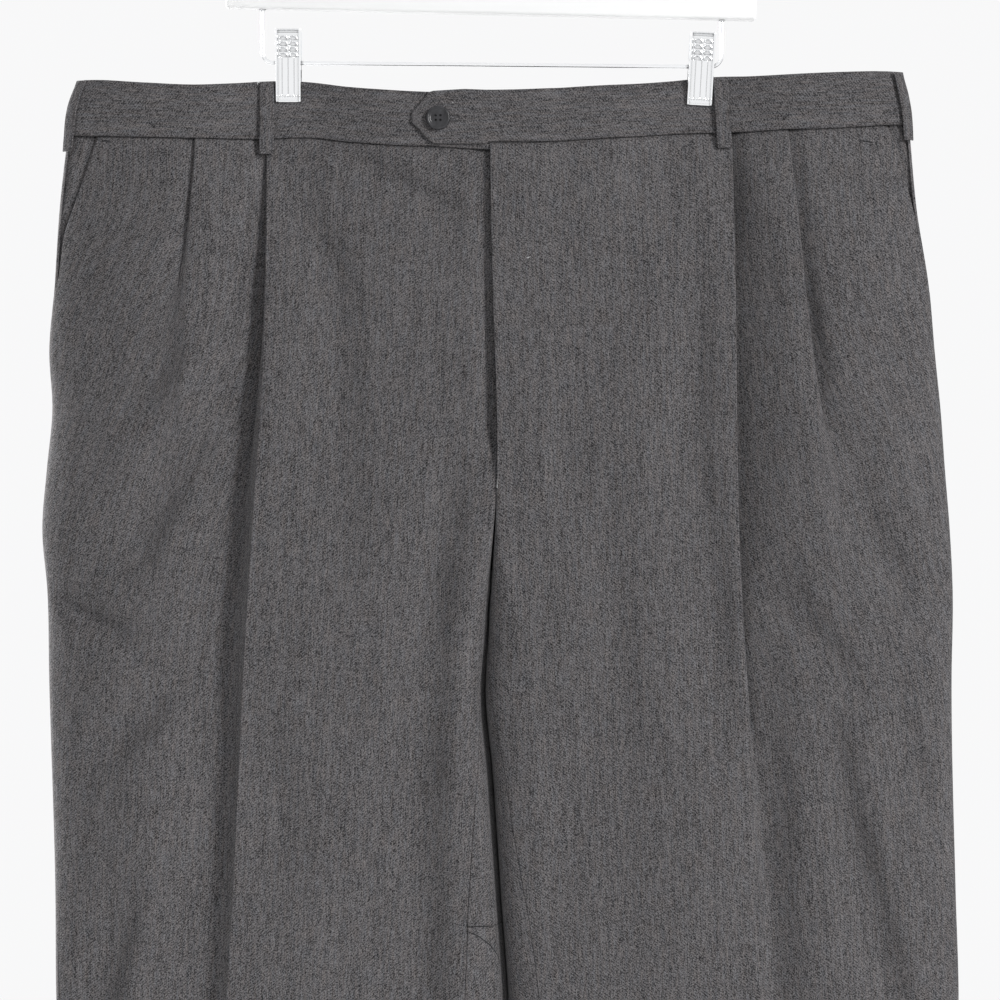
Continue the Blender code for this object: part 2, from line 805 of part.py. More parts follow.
def make_clip(side):
    """Two sprung plates on the rod that grip the front and back of the waistband together."""
    m, lean = CLIPS[side]
    x = SIGN[side] * m
    rod = rod_drop(x)
    width, wall, height = PLATE
    bottom = CLIP_TOP + height
    if side == "left":
        bottom += 2.4
    lean_y = math.radians(CLIP_LEAN)
    for face, name, inward in ((-1, "front", 0.0), (1, "back", 1.35)):
        plate = box("clip_%s_%s" % (side, name), (width, wall, height), (0, 0, 0), "chrome")
        foot = Vector((x, face * (JAW_GAP + wall / 2 + 0.3), -bottom))
        up = Vector((0, face * math.sin(lean_y), math.cos(lean_y)))
        plate.location = (foot + up * height / 2) * MM
        plate.rotation_euler = (-face * lean_y, math.radians(lean), 0)
        edge = plate.modifiers.new("Edge", "BEVEL")
        edge.width = 0.35 * MM
        edge.segments = 1
        for end in (-1, 1):
            at_x = x + end * (width / 2 - 0.5 - inward)
            ear = box("ear", (0.9, EAR_DEPTH, 11), (at_x, face * (EAR_DEPTH / 2 - 2.6), -rod))
            cut(plate, ear, "UNION")
        cut(plate, cylinder("rod_way", ROD_WIRE + 0.35, 40, (x, 0, -rod), "X"))
    coil = turned_sleeve("clip_%s_spring" % side, ROD_WIRE + 0.35, ROD_WIRE + 1.5, 12.4)
    coil.location = Vector((x, 0, -rod)) * MM
    coil.rotation_euler = (0, math.pi / 2, 0)


def turned_sleeve(name, inner, outer, length):
    """The closed coils of a torsion spring, as one ribbed sleeve."""
    shape = bmesh.new()
    half = length / 2
    turns = 4
    profile = [(inner, -half)]
    for k in range(turns):
        z = -half + length * k / turns
        profile += [(outer - 0.4, z), (outer, z + length / turns / 2)]
    profile += [(outer - 0.4, half), (inner, half)]
    points = [shape.verts.new((r * MM, 0, z * MM)) for r, z in reversed(profile)]
    for a, b in zip(points, points[1:] + points[:1]):
        shape.edges.new((a, b))
    mesh = bpy.data.meshes.new(name)
    shape.to_mesh(mesh)
    shape.free()
    ob = add(name, mesh, "chrome")
    turned = ob.modifiers.new("Turned", "SCREW")
    turned.axis = "Z"
    turned.steps = turned.render_steps = 12
    turned.use_merge_vertices = True
    turned.merge_threshold = 0.00001
    turned.use_normal_calculate = True
    return ob


for old in list(bpy.data.objects):
    bpy.data.objects.remove(old)
PARTS = bpy.data.collections.new("Pleated_dress_trousers_on_hanger")
CUTTERS = bpy.data.collections.new("Cutters")
bpy.context.scene.collection.children.link(PARTS)
bpy.context.scene.collection.children.link(CUTTERS)

make_fronts()
make_backs()
make_facings()
make_fly_shield()
make_waistband()
make_belt_loops()
make_button()
make_hanger()
for clip_side in SIGN:
    make_clip(clip_side)
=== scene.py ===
"""Looks of the pleated dress trousers and their clip hanger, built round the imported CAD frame.

Tables and sizes are in millimetres. "drop" is the distance below the frame's origin, "m" is the
distance from the middle plane out towards a side, and the wearer's front faces -Y. "row" is the
drop that a point would have if the waist seam were level.
"""
import math

import bmesh
import bpy
import numpy as np
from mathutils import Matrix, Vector


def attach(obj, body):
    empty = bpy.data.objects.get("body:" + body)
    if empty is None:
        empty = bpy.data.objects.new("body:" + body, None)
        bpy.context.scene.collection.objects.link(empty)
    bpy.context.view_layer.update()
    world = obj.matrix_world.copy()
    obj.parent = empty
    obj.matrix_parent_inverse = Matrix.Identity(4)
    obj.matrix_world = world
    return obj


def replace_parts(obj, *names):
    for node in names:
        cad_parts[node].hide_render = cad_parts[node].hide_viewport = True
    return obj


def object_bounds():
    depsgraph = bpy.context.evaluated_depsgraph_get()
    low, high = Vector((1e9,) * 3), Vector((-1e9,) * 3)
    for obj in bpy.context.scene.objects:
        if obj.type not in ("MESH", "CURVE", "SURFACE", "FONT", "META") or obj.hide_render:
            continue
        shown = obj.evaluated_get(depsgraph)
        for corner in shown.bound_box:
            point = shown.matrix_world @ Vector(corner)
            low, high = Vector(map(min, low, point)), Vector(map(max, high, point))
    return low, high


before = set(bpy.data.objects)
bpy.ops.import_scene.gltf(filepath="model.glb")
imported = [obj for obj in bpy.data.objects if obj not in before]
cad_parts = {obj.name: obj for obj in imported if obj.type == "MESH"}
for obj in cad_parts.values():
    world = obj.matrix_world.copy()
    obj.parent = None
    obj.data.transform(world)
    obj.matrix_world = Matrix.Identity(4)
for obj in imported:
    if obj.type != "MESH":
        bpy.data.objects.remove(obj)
cad_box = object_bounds()

MM = 0.001
SIGN = {"right": -1, "left": 1}
FACE = {-1: "front", 1: "back"}
BODY = "root"

# Cloth sizes that the CAD part shares: gaps, the side's rounding and its last turn in degrees, the
# pleats' folds, the fly and the tab, and the drops at which the crotch, seams and hem lie
SEAM_GAP = 0.3
HALF_GAP = SEAM_GAP / 2
SIDE_ROUND = 112
LAST_TURN = 5
FOLD_DEPTHS = (20, 15)
FLY_LAP = 8
FLY_RAISE = 2.2
TAB_RAISE = 2.7
FLY_END = 431
CROTCH_TOP = 451
FORK = 519
FORK_PIECE_END = 772
FORK_SPLIT = 34
POCKET_END = 312
SEAM_LEVEL = 194
SAG_END = 409
BAND_END = 26
FACING_UNDER = 14
HEM = 1279

# Cloth sizes of the looks alone: walls; how far a pleat spreads before and after its fold edge and
# recovers beyond it; what is tucked under an edge; the columns beside the middle and how much
# closer they get; the m at which a row is levelled near the middle and far out; how the thighs
# touch; where each panel lies on the cloth; and the waistband's and the loops' own sizes
WALL = 0.9
BAND_WALL = 2.3
LOOP_WALL = 1.5
FOLD_RADIUS = 0.6
OPEN_BEFORE = 1
OPEN_AFTER = {"right": 16, "left": 14}
RECOVERY = {"right": 44, "left": 48}
TUCK = 1.9
TUCK_RUN = 3
UNDER_BAND = 3
FACING_SINK = 2.0
ALLOWANCE = 5
ALLOWANCE_SINK = 1.5
INNER_WIDTH = 36
INNER_COLUMNS = 34
FRONT_COLUMNS = INNER_COLUMNS + 115
FACING_END = 355
SHIELD_SINK = 5.6
BORDER = 0.35
LET_OUT_RUN = 430
CLOSER = 1.5
BACK_CLOSER = 1.8
NEAR = 20
FAR = 300
THIGH_GAP = 0.7
THIGH_SHIFT = 1.5
THIGH_PART = 880
EDGE_FULLNESS = 0.6
FORK_SHARE = 4 / 6
FRONT_ON_CLOTH = 900
BACK_ON_CLOTH = 3000
FACING_ON_CLOTH = 200
BAND_DROP = 160
BAND_HEIGHT = 43
BAND_TURN = 258
BAND_STOPS = {
    "right": ((-BAND_END, 0.5), (-BAND_END + 2, 2.6), (BAND_TURN, 3)),
    "left": ((-58.6, 0.4), (-56.6, 1.4), (-48, 0.8), (-42, 2), (-1.6, 1.2), (0, 2.6), (BAND_TURN, 3)),
}
LOOP_HALF = 5.5
LOOP_REACH = 11.5


def table(names, *rows):
    """Named columns from rows; the first column is what the others are read against."""
    return dict(zip(names.split(), np.array(rows, float).T))


SIDES = table(
    "drop right left",
    (144, 301, 301),
    (172, 310, 306.5),
    (195, 312.5, 308.5),
    (240, 317.5, 312.5),
    (305, 322, 322.5),
    (350, 325.7, 326.4),
    (394, 323.4, 330.8),
    (438, 327.5, 334),
    (482, 330.8, 337.5),
    (527, 327.1, 339.7),
    (593, 325.7, 338.9),
    (748, 321.2, 341.9),
    (829, 320.5, 344.1),
    (930, 316, 340),
    (1060, 306, 328),
    (1180, 294, 314),
    (1279, 285, 303),
)

# Where each leg's inner edge hangs, on the X axis. Above CROTCH_TOP it is the centre seam.
MIDDLE = table(
    "drop right left",
    (144, -1.1, -1.1),
    (197, -1.1, -1.1),
    (313, 1.1, 1.1),
    (409, 4.1, 4.1),
    (451, 4.1, 4.1),
    (480, 1.4, 3.2),
    (519, -1.6, 0.6),
    (560, -4.2, -2.0),
    (600, -7.4, -4.0),
    (660, -2.8, 1.5),
    (700, 0.2, 4.2),
    (748, 3.4, 7.3),
    (829, 8.3, 14.0),
    (930, 5, 22),
    (1060, -5, 31),
    (1180, -15, 37),
    (1279, -22, 41),
)

# Half depth of the front and back, and how hard the clips still press them together.
DEPTH = table(
    "drop front back pinch",
    (144, 10, 10, 1),
    (168, 10, 11, 1),
    (194, 12.5, 14, 0.72),
    (220, 16, 18, 0.45),
    (260, 21, 26, 0.2),
    (310, 25, 33, 0.05),
    (355, 27, 37, 0),
    (451, 30, 40, 0),
    (519, 30, 38, 0),
    (620, 28, 33, 0),
    (830, 25, 28, 0),
    (1060, 22, 25, 0),
    (1279, 20, 23, 0),
)

# Fly-side fold edge of each pleat, how far it has opened, and the step under it.
PLEATS = table(
    "drop right1 left1 right2 left2 open1_right open1_left open2_right open2_left"
    " step1_right step1_left step2_right step2_left",
    (184, 165, 176.5, 217, 216.5, 0, 0, 0, 0, 2.4, 2.4, 2.4, 2.4),
    (209, 165, 176.8, 218, 219, 0, 0, 0, 0, 3.2, 4.5, 3, 3.2),
    (239, 165, 177.3, 220, 222.5, 0, 0, 0.12, 0, 5, 8.5, 3.6, 4.4),
    (283, 165, 177.8, 222.5, 227, 0.06, 0, 0.5, 0.05, 8.5, 13.5, 3.4, 5.6),
    (335, 166, 178.3, 225, 232, 0.22, 0, 0.9, 0.3, 12.5, 16, 2.4, 5.6),
    (409, 170, 179, 228, 239, 0.5, 0.05, 1, 0.7, 15, 16, 1.2, 3.8),
    (480, 175, 180, 232, 244, 0.75, 0.2, 1, 1, 16, 14, 0.6, 2.4),
    (600, 182.5, 184, 236, 248, 1, 0.6, 1, 1, 15.5, 10, 0.4, 1),
    (740, 189, 190, 238, 250, 1, 0.9, 1, 1, 13.5, 8, 0.3, 0.5),
    (829, 194, 195, 240, 250, 1, 1, 1, 1, 11.5, 6.5, 0.3, 0.3),
    (1060, 184, 192, 226, 240, 1, 1, 1, 1, 4, 2.5, 0.3, 0.3),
    (1279, 171, 183, 208, 224, 1, 1, 1, 1, 2.5, 2, 0.3, 0.3),
)

# Rounding of each leg's inner edge, the seam's place on it as a share of the depth, and how far
# round on the front the inseam lies.
FORKS = table(
    "drop round turn front back inseam_right inseam_left",
    (451, 3, 0.05, -1, 1, 0, 0),
    (480, 5, 0.12, -0.86, 0.86, 0, 0),
    (500, 9, 0.3, -0.58, 0.6, 0, 0),
    (519, 15, 0.55, 0, 0, 0, 0),
    (560, 30, 1, 0, 0, 0.3, 0.3),
    (620, 34, 1, 0, 0, 2.5, 5.5),
    (700, 34, 1, 0, 0, 13.5, 11.5),
    (772, 35, 1, 0, 0, 22.5, 19),
    (829, 36, 1, 0, 0, 28, 21.5),
    (1060, 40, 1, 0, 0, 26, 20),
    (1279, 40, 1, 0, 0, 22, 18),
)

# Top edge and lower seam of the waistband against m, as drops.
BAND = table(
    "m top_right seam_right top_left seam_left",
    (-30, 159.6, 203, 159.2, 197.4),
    (4, 159.8, 202.9, 159.2, 197.4),
    (45, 160.4, 200.6, 157.8, 197),
    (70, 159.3, 199.8, 156.2, 195.3),
    (105, 156.3, 196.9, 154.2, 193.2),
    (135, 152.3, 193.5, 151.5, 190.8),
    (168, 151.9, 194.5, 148.4, 189.9),
    (190, 153.5, 194.7, 148.3, 189.2),
    (215, 154.9, 194.4, 147.5, 188),
    (255, 153.3, 193.6, 145.6, 186.9),
    (288, 151.2, 192.5, 144.6, 184.4),
    (345, 151.2, 192, 146, 184),
)

# The tab, from its point to the fly, against X.
TAB = table(
    "x top bottom",
    (-58.6, 178, 181.6),
    (-57.8, 175.4, 184),
    (-45.4, 160.8, 197),
    (-43, 160, 199.2),
    (-20, 158.6, 199.2),
    (-4, 159.2, 199),
    (-1.5, 159.2, 197.4),
)

# Slanted front pocket edges against the drop.
POCKETS = table(
    "drop right left",
    (184, 286.5, 290),
    (204, 293, 299),
    (242, 306, 309.4),
    (264, 314, 314.8),
    (296, 318.5, 320.2),
    (312, 322.6, 323.2),
)

# Soft folds of the front, from one end to the other on X and drop: how wide, how deep (a ridge is
# below zero), and how much wider the fold is on its downhill side.
FRONT_FOLDS = table(
    "x0 drop0 x1 drop1 width depth skew",
    (-205, 392, -262, 500, 21, 12, -0.4),
    (-190, 336, -262, 424, 18, -7, 0.3),
    (-322, 532, -266, 560, 10, 9, 0),
    (-226, 590, -284, 648, 16, 9.5, -0.3),
    (-266, 750, -300, 880, 18, 10, -0.4),
    (-143, 228, -116, 300, 15, 4.5, -0.3),
    (-116, 290, -108, 500, 20, 5.5, -0.3),
    (-119, 198, -28, 250, 9, 6.3, 0),
    (-31, 442, -45, 552, 19, 8, -0.4),
    (-44, 538, -52, 668, 25, 11, -0.4),
    (-52, 652, -56, 870, 25, 10.5, -0.4),
    (-172, 612, -146, 725, 21, 5, -0.3),
    (-100, 600, -94, 820, 25, 3.6, -0.4),
    (-300, 300, -275, 350, 17, 3.4, 0),
    (232, 300, 243, 405, 8, 4, -0.3),
    (147, 288, 151, 458, 15, 5.5, -0.4),
    (151, 442, 176, 660, 18, 6.5, -0.4),
    (272, 462, 302, 534, 15, 7, -0.2),
    (212, 520, 263, 600, 16, 7.5, -0.2),
    (244, 610, 268, 724, 16, 7.5, -0.4),
    (266, 704, 301, 862, 18, 9, -0.4),
    (202, 540, 208, 840, 22, 6, -0.4),
    (82, 458, 95, 614, 18, 4.6, -0.4),
    (95, 600, 90, 765, 20, 4, -0.4),
    (48, 560, 56, 830, 24, 2.4, -0.3),
    (296, 590, 320, 700, 15, 5, -0.3),
)

BACK_FOLDS = table(
    "x0 drop0 x1 drop1 width depth skew",
    (-205, 290, -256, 470, 17, 7.8, 0.4),
    (-120, 250, -130, 560, 20, 5.4, 0.3),
    (-64, 320, -16, 455, 15, 7.8, 0.3),
    (-90, 560, -72, 850, 20, 6.5, 0.3),
    (-322, 530, -262, 558, 9, 6.8, 0),
    (-190, 510, -206, 800, 17, 7.5, 0.4),
    (-258, 620, -300, 760, 14, 6.8, 0.3),
    (-150, 420, -196, 520, 14, -4.4, 0),
    (60, 310, 18, 460, 16, 8.2, 0.3),
    (112, 270, 126, 520, 19, 5.4, 0.3),
    (210, 320, 266, 525, 17, 7.8, 0.4),
    (280, 465, 328, 548, 11, 6.8, 0.2),
    (86, 530, 106, 870, 21, 6.5, 0.3),
    (188, 470, 198, 820, 17, 7.5, 0.4),
    (258, 590, 302, 800, 15, 6.8, 0.3),
    (150, 380, 190, 470, 14, -4.4, 0),
)

# Slow unevenness of the whole cloth: height, then waves across and down in a metre, and phase.
WAVES = table(
    "height across down phase",
    (0.6, 7.3, 2.1, 0.4),
    (0.5, -5.1, 6.7, 2.3),
    (0.28, 14.9, 3.9, 4.4),
    (0.2, -11.3, 12.7, 1.1),
    (0.1, 27.9, 7.1, 3.6),
)

# Each clip's m, its lean in degrees and how much lower it grips than CLIP_TOP gives, and how far
# from it the waist is pressed flat
CLIPS = {"right": (149.6, 0, 0), "left": (154.5, 3, 2.4)}
CLIP_PRESS = 14
CLIP_FADE = 62
PRESSED_DEPTH = 1.6

# Side, m and lean of the front belt loops
LOOPS = {"front_right": ("right", 165.4, 0), "front_left": ("left", 170.2, 3)}


def read(columns, name, where):
    """One column's values on a smooth curve through its rows."""
    x = next(iter(columns.values()))
    y = columns[name]
    slope = np.gradient(y, x)
    where = np.asarray(where, float)
    k = np.clip(np.searchsorted(x, where) - 1, 0, len(x) - 2)
    h = x[k + 1] - x[k]
    t = np.clip((where - x[k]) / h, 0, 1)
    a = (1 + 2 * t) * (1 - t) ** 2 * y[k] + t * t * (3 - 2 * t) * y[k + 1]
    b = t * (1 - t) ** 2 * slope[k] - t * t * (1 - t) * slope[k + 1]
    return a + h * b


def line(columns, name, where):
    """One column's values on straight lines between its rows."""
    return np.interp(where, next(iter(columns.values())), columns[name])


def run_along(*axes):
    """Length so far at each point of a path, from its coordinates."""
    return np.concatenate([[0], np.cumsum(np.sqrt(sum(np.diff(axis) ** 2 for axis in axes)))])


def ease(t):
    """A smooth step from 0 to 1."""
    t = np.clip(t, 0.0, 1.0)
    return t * t * (3 - 2 * t)


def bump(distance, width):
    """A soft rise that is 1 in its middle."""
    return np.exp(-((distance / width) ** 2))


def pinch(side, m):
    """1 where a clip presses the waist flat, 0 away from it."""
    return 1 - ease((abs(m - CLIPS[side][0]) - CLIP_PRESS) / CLIP_FADE)


def relief(face, x, drop):
    """How far the soft folds and the slow unevenness push the cloth inward."""
    folds = FRONT_FOLDS if face < 0 else BACK_FOLDS
    push = np.zeros(np.broadcast(x, drop).shape)
    for x0, d0, x1, d1, width, depth, skew in zip(*folds.values()):
        ax, ad = x1 - x0, d1 - d0
        length = math.hypot(ax, ad)
        along = np.clip(((x - x0) * ax + (drop - d0) * ad) / length**2, 0, 1)
        aside = ((x - x0) * ad - (drop - d0) * ax) / length
        away = np.hypot(x - x0 - along * ax, drop - d0 - along * ad)
        wide = width * (1 + skew * np.tanh(aside / width))
        push += depth * np.exp(-((away / wide) ** 2)) * np.sin(math.pi * (0.15 + 0.7 * along))
    for height, across, down, phase in zip(*WAVES.values()):
        push += height * np.sin(2 * math.pi * MM * (across * x + down * drop) + phase * (2 + face))
    return push


def swell(side, m, drop):
    """Share of the full depth that the skin has near the side fold."""
    out = np.clip((read(SIDES, side, drop) - m) / SIDE_ROUND, 0, 1)
    return np.sqrt(np.maximum(0, 1 - (1 - out) ** 2))


def half_depth(side, face, m, drop):
    """Distance of the cloth's middle from the plane between front and back."""
    full = read(DEPTH, FACE[face], drop) * swell(side, m, drop)
    pressed = np.minimum(full, PRESSED_DEPTH)
    free = 1 - pinch(side, m) * read(DEPTH, "pinch", drop)
    depth = pressed + (full - pressed) * free
    fade = ease((drop - 196) / 18) * np.minimum(1.0, full / 15)
    return depth - relief(face, SIGN[side] * m, drop) * fade


def place(side, m, y, drop):
    """Points in the frame, in metres, from arrays of m, y and drop."""
    m, y, drop = np.broadcast_arrays(m, y, drop)
    return np.stack([SIGN[side] * m, y, -drop], -1) * MM


def skin(side, face, m, drop, out):
    """Points of the front (face -1) or back (face 1), moved out by a distance."""
    rise = half_depth(side, face, m, drop)
    slope = half_depth(side, face, m - 1, drop) - rise
    size = np.hypot(slope, 1)
    return place(side, m + out * slope / size, face * (rise + out / size), drop)


def folded_m(side, turn, drop):
    """m at a turn round the side fold: 0 at the fold, -90 in front and 90 behind."""
    return read(SIDES, side, drop) - SIDE_ROUND * (1 - np.cos(np.radians(turn)))


def skin_y(side, turn, m, drop):
    """y of the skin at m, in front where the turn is below 0 and behind elsewhere."""
    return np.where(turn < 0, -half_depth(side, -1, m, drop), half_depth(side, 1, m, drop))


def around(side, turn, drop, out=0.0):
    """(m, y) round the side fold at a turn, moved out by a distance."""
    a = np.radians(turn)
    m = folded_m(side, turn, drop)
    full = read(DEPTH, FACE[-1 if np.mean(turn) < 0 else 1], drop)
    size = np.hypot(np.cos(a) * full, np.sin(a) * SIDE_ROUND)
    y = skin_y(side, turn, m, drop) + out * np.sin(a) * SIDE_ROUND / size
    return m + out * np.cos(a) * full / size, y


def curl(fold, m, y, close):
    """m along the last curl from (m, y) to the side fold, at each y in close."""
    return m + (fold - m) * (1 - (close / y) ** 2)


def cloth_uv(run, row):
    """Texture places in metres from the run across the cloth and the row."""
    return np.stack([run, 0 * run + row], -1) * MM


def turn_of(side, m, drop):
    """The turn round the side fold at which the skin is at m, in degrees."""
    out = np.maximum(read(SIDES, side, drop) - m, 0.0)
    return np.degrees(np.arccos(np.maximum(1 - out / SIDE_ROUND, -1.0)))


def seam_drop(side, m):
    """Drop of the waist seam at m."""
    return read(BAND, "seam_" + side, m)


def level(side, m, row):
    """Drop of a row at m: rows follow the waist seam's sag at the top and are level lower down."""
    sag = 1 - ease((row - SEAM_LEVEL) / (SAG_END - SEAM_LEVEL))
    return row + (seam_drop(side, m) - SEAM_LEVEL) * sag


def tucked(row):
    """How far a panel's top turns in behind the waistband."""
    return TUCK * (1 - ease((row - SEAM_LEVEL) / TUCK_RUN))


def spaced(*stops):
    """Positions through (position, step) stops, evenly spread between each pair."""
    parts = [np.linspace(a, b, max(2, round((b - a) / step) + 1))[:-1]
             for (a, step), (b, _) in zip(stops, stops[1:])]
    return np.concatenate(parts + [[stops[-1][0]]])


def inner_path(side, face, drop, seam):
    """Dense path of a leg's inner edge from its seam out to the flat of the front or back."""
    edge = SIGN[side] * read(MIDDLE, side, drop)
    radius = read(FORKS, "round", drop)
    turn = read(FORKS, "turn", drop)
    inseam = read(FORKS, "inseam_" + side, drop)
    lead = HALF_GAP if drop <= FORK else 0.0
    parts = []
    start = 0.0
    splitting = ease((drop - FORK) / FORK_SPLIT)

    def arc(side_face, lead, a):
        m = edge + lead + radius * (1 - np.cos(a))
        y = half_depth(side, side_face, m, drop) * (1 - turn + turn * np.sin(a) ** EDGE_FULLNESS)
        return np.stack([m, side_face * y], -1)

    if drop <= FORK:
        parts.append([[edge + HALF_GAP, seam * half_depth(side, face, edge + HALF_GAP, drop)]])
    elif face < 0:
        start = math.acos(max(1 - (inseam + HALF_GAP) / radius, 0.0))
    if FORK < drop < FORK + FORK_SPLIT:
        meet = math.sin(math.acos(1 - (inseam + HALF_GAP) / radius)) ** EDGE_FULLNESS
        y = -half_depth(side, -1, edge, drop) * (1 - turn + turn * meet) * splitting
        parts.append([[edge + HALF_GAP, y + face * HALF_GAP]])
    elif face > 0 and drop > FORK:
        begin = math.acos(min(max(1 - (inseam - HALF_GAP) / radius, 0.0), 1.0))
        parts.append(arc(-1, 0.0, np.linspace(begin, 0.04, 20)))
    if drop > FORK:
        start = max(start, 0.012)
    parts.append(arc(face, lead, np.linspace(start, math.pi / 2, 48)))
    flat = (INNER_WIDTH - radius) * (1 - ease((drop - CROTCH_TOP) / (FORK - CROTCH_TOP)))
    if flat > 0:
        m = edge + radius + np.linspace(0, flat, 12)[1:]
        parts.append(np.stack([m, face * half_depth(side, face, m, drop)], -1))
    return closed_behind(side, drop, np.concatenate(parts))


def closed_behind(side, drop, path):
    """Presses a leg's inner edge against the other leg's where the thighs touch, in an S."""
    share = ease((drop - CROTCH_TOP) / 14) * (1 - ease((drop - THIGH_PART) / 40))
    m, y = path.T
    begin = max(y[0], 0.0)
    press = ease((y + 8) / 8) * (1 - ease((y - begin - 12) / 14))
    middle = (read(MIDDLE, "right", drop) + read(MIDDLE, "left", drop)) / 2
    contact = middle + THIGH_SHIFT * np.cos(math.pi * np.clip((y - begin) / 12, 0, 1))
    target = SIGN[side] * contact + THIGH_GAP
    return np.stack([m + (target - m) * share * press, y], -1)


def spread(path, count):
    """Points along a path of (m, y), closest together at its start."""
    run = run_along(*path.T)
    steps = run[-1] * np.linspace(0, 1, count) ** CLOSER
    return [np.interp(steps, run, axis) for axis in path.T]


def inner_columns(side, face, row, lap, closer):
    """m of a panel's columns beside the middle, and below the crotch's top their y as well."""
    if row <= CROTCH_TOP:
        edge = SIGN[side] * read(MIDDLE, side, level(side, NEAR, row)) + HALF_GAP - lap
        return edge + INNER_WIDTH * np.linspace(0, 1, INNER_COLUMNS) ** closer, None
    drop = level(side, 5, row)
    return spread(inner_path(side, face, drop, read(FORKS, FACE[face], drop)), INNER_COLUMNS)


def pleat(side, index, row, bend):
    """m and sink through a pleat, folded in three at the waist and opening into a hollow below,
    how far it has opened, and the cloth that it spends."""
    depth = FOLD_DEPTHS[index - 1]
    row = max(row, SEAM_LEVEL)
    ridge = read(PLEATS, side + str(index), row)
    opened = ease(read(PLEATS, "open%d_%s" % (index, side), row))
    step = read(PLEATS, "step%d_%s" % (index, side), row)
    r = FOLD_RADIUS
    a = np.linspace(0, math.pi, bend)
    m = np.concatenate([ridge - r + r * np.sin(a), ridge - depth + r - r * np.sin(a)])
    sink = np.concatenate([r - r * np.cos(a), 2 * r + (step / 2 - r) * (1 - np.cos(a))])
    t = np.linspace(0, 1, 2 * bend)
    wide = ridge - OPEN_BEFORE + (OPEN_BEFORE + OPEN_AFTER[side]) * t
    fall = step * (1 - (1 - t) ** 2.5 if side == "right" else ease(t))
    let_out = ease((row - SEAM_LEVEL) / LET_OUT_RUN)
    spent = 2 * depth + 2 + (OPEN_BEFORE + OPEN_AFTER[side] - 2 * depth) * let_out
    return m + (wide - m) * opened, sink + (fall - sink) * opened, opened, spent


def hollow(side, m, start, ridge, sunk, reach):
    """How far the cloth beyond a pleat still lies under the fold's level."""
    t = np.clip((m - max(ridge, start) - 1.5) / reach, 0, 1)
    return sunk * (1 - ease(t) if side == "right" else (1 - t) ** 1.6)


def fly_raise(side, m, row):
    """How far the left front stands out where it laps over the right one."""
    if side == "right" or row > CROTCH_TOP + 40:
        return 0.0 * m
    return FLY_RAISE * (1 - ease((m - 36) / 18)) * (1 - ease((row - FLY_END) / 60))


def fly_dip(side, m, row):
    """How far the right front sinks as it runs in under the fly's edge."""
    if side == "left":
        return 0.0 * m
    edge = -read(MIDDLE, side, row)
    deep = 2.0 + 3.2 * ease((row - 200) / 200)
    return deep * (1 - ease((row - 400) / 48)) * (1 - ease((m - edge - 4) / 13))


def front_row(side, row):
    """One row of a front panel from the fly or inseam to the side, and its run from the crease."""
    lap = FLY_LAP * (1 - ease((row - FLY_END) / 12)) if side == "right" else 0
    inner, inner_y = inner_columns(side, -1, row, lap, CLOSER)
    m1, s1, _, spent1 = pleat(side, 1, row, 9)
    m2, s2, open2, spent2 = pleat(side, 2, row, 7)
    before = np.linspace(inner[-1], m1[0], 28)[1:-1]
    between = np.linspace(m1[-1], m2[0], 24)[1:-1]
    ridge1 = read(PLEATS, side + "1", max(row, SEAM_LEVEL))
    ridge2 = read(PLEATS, side + "2", max(row, SEAM_LEVEL))
    reach = 12 + RECOVERY[side] * ease((row - 200) / 130)
    m = np.concatenate([inner, before, m1, between, m2])
    sink = np.concatenate([
        0 * inner, 0 * before, s1,
        hollow(side, between, m1[-1], ridge1, s1[-1], reach),
        s2 + hollow(side, m2, m1[-1], ridge1, s1[-1], reach),
    ])
    drop = level(side, m, row)
    y = sink + fly_dip(side, m, row) - fly_raise(side, m, row) - half_depth(side, -1, m, drop)
    if inner_y is not None:
        y[:INNER_COLUMNS] = inner_y - fly_raise(side, m[:INNER_COLUMNS], row)
    start = m2[-1]
    drop = level(side, FAR, row)
    fold = read(SIDES, side, drop)
    end = LAST_TURN
    if drop < POCKET_END:
        end = max(turn_of(side, line(POCKETS, side, drop), drop), LAST_TURN)
    turns = np.linspace(turn_of(side, start, drop), end, 33)[1:]
    side_m, side_y = around(side, -turns, level(side, folded_m(side, turns, drop), row))
    side_y += hollow("right", side_m, start, ridge2, s2[-1], 12 + 22 * open2)
    side_y += hollow(side, side_m, m1[-1], ridge1, s1[-1], reach)
    if end > LAST_TURN:
        m = np.concatenate([m, side_m[:-1], np.linspace(side_m[-2], side_m[-1], 5)[1:]])
        y = np.concatenate([y, side_y[:-1], np.linspace(side_y[-2], side_y[-1], 5)[1:]])
    else:
        close = np.linspace(side_y[-1], -HALF_GAP, 5)[1:-1]
        m = np.concatenate([m, side_m, curl(fold, side_m[-1], side_y[-1], close), [fold]])
        y = np.concatenate([y, side_y, close, [-HALF_GAP]])
    m, y = m[:FRONT_COLUMNS], y[:FRONT_COLUMNS]
    points = place(side, m, y + tucked(row), level(side, m, row))
    crease = len(inner) + len(before)
    steps = np.hypot(np.diff(m), np.diff(y))
    for first, count, spent in (
        (crease, len(m1), spent1), (crease + len(m1) + len(between), len(m2), spent2)
    ):
        folded = slice(first, first + count - 1)
        steps[folded] *= spent / steps[folded].sum()
    run = np.concatenate([[0], np.cumsum(steps)])
    return points, cloth_uv(run - run[crease] + FRONT_ON_CLOTH * SIGN[side], row)


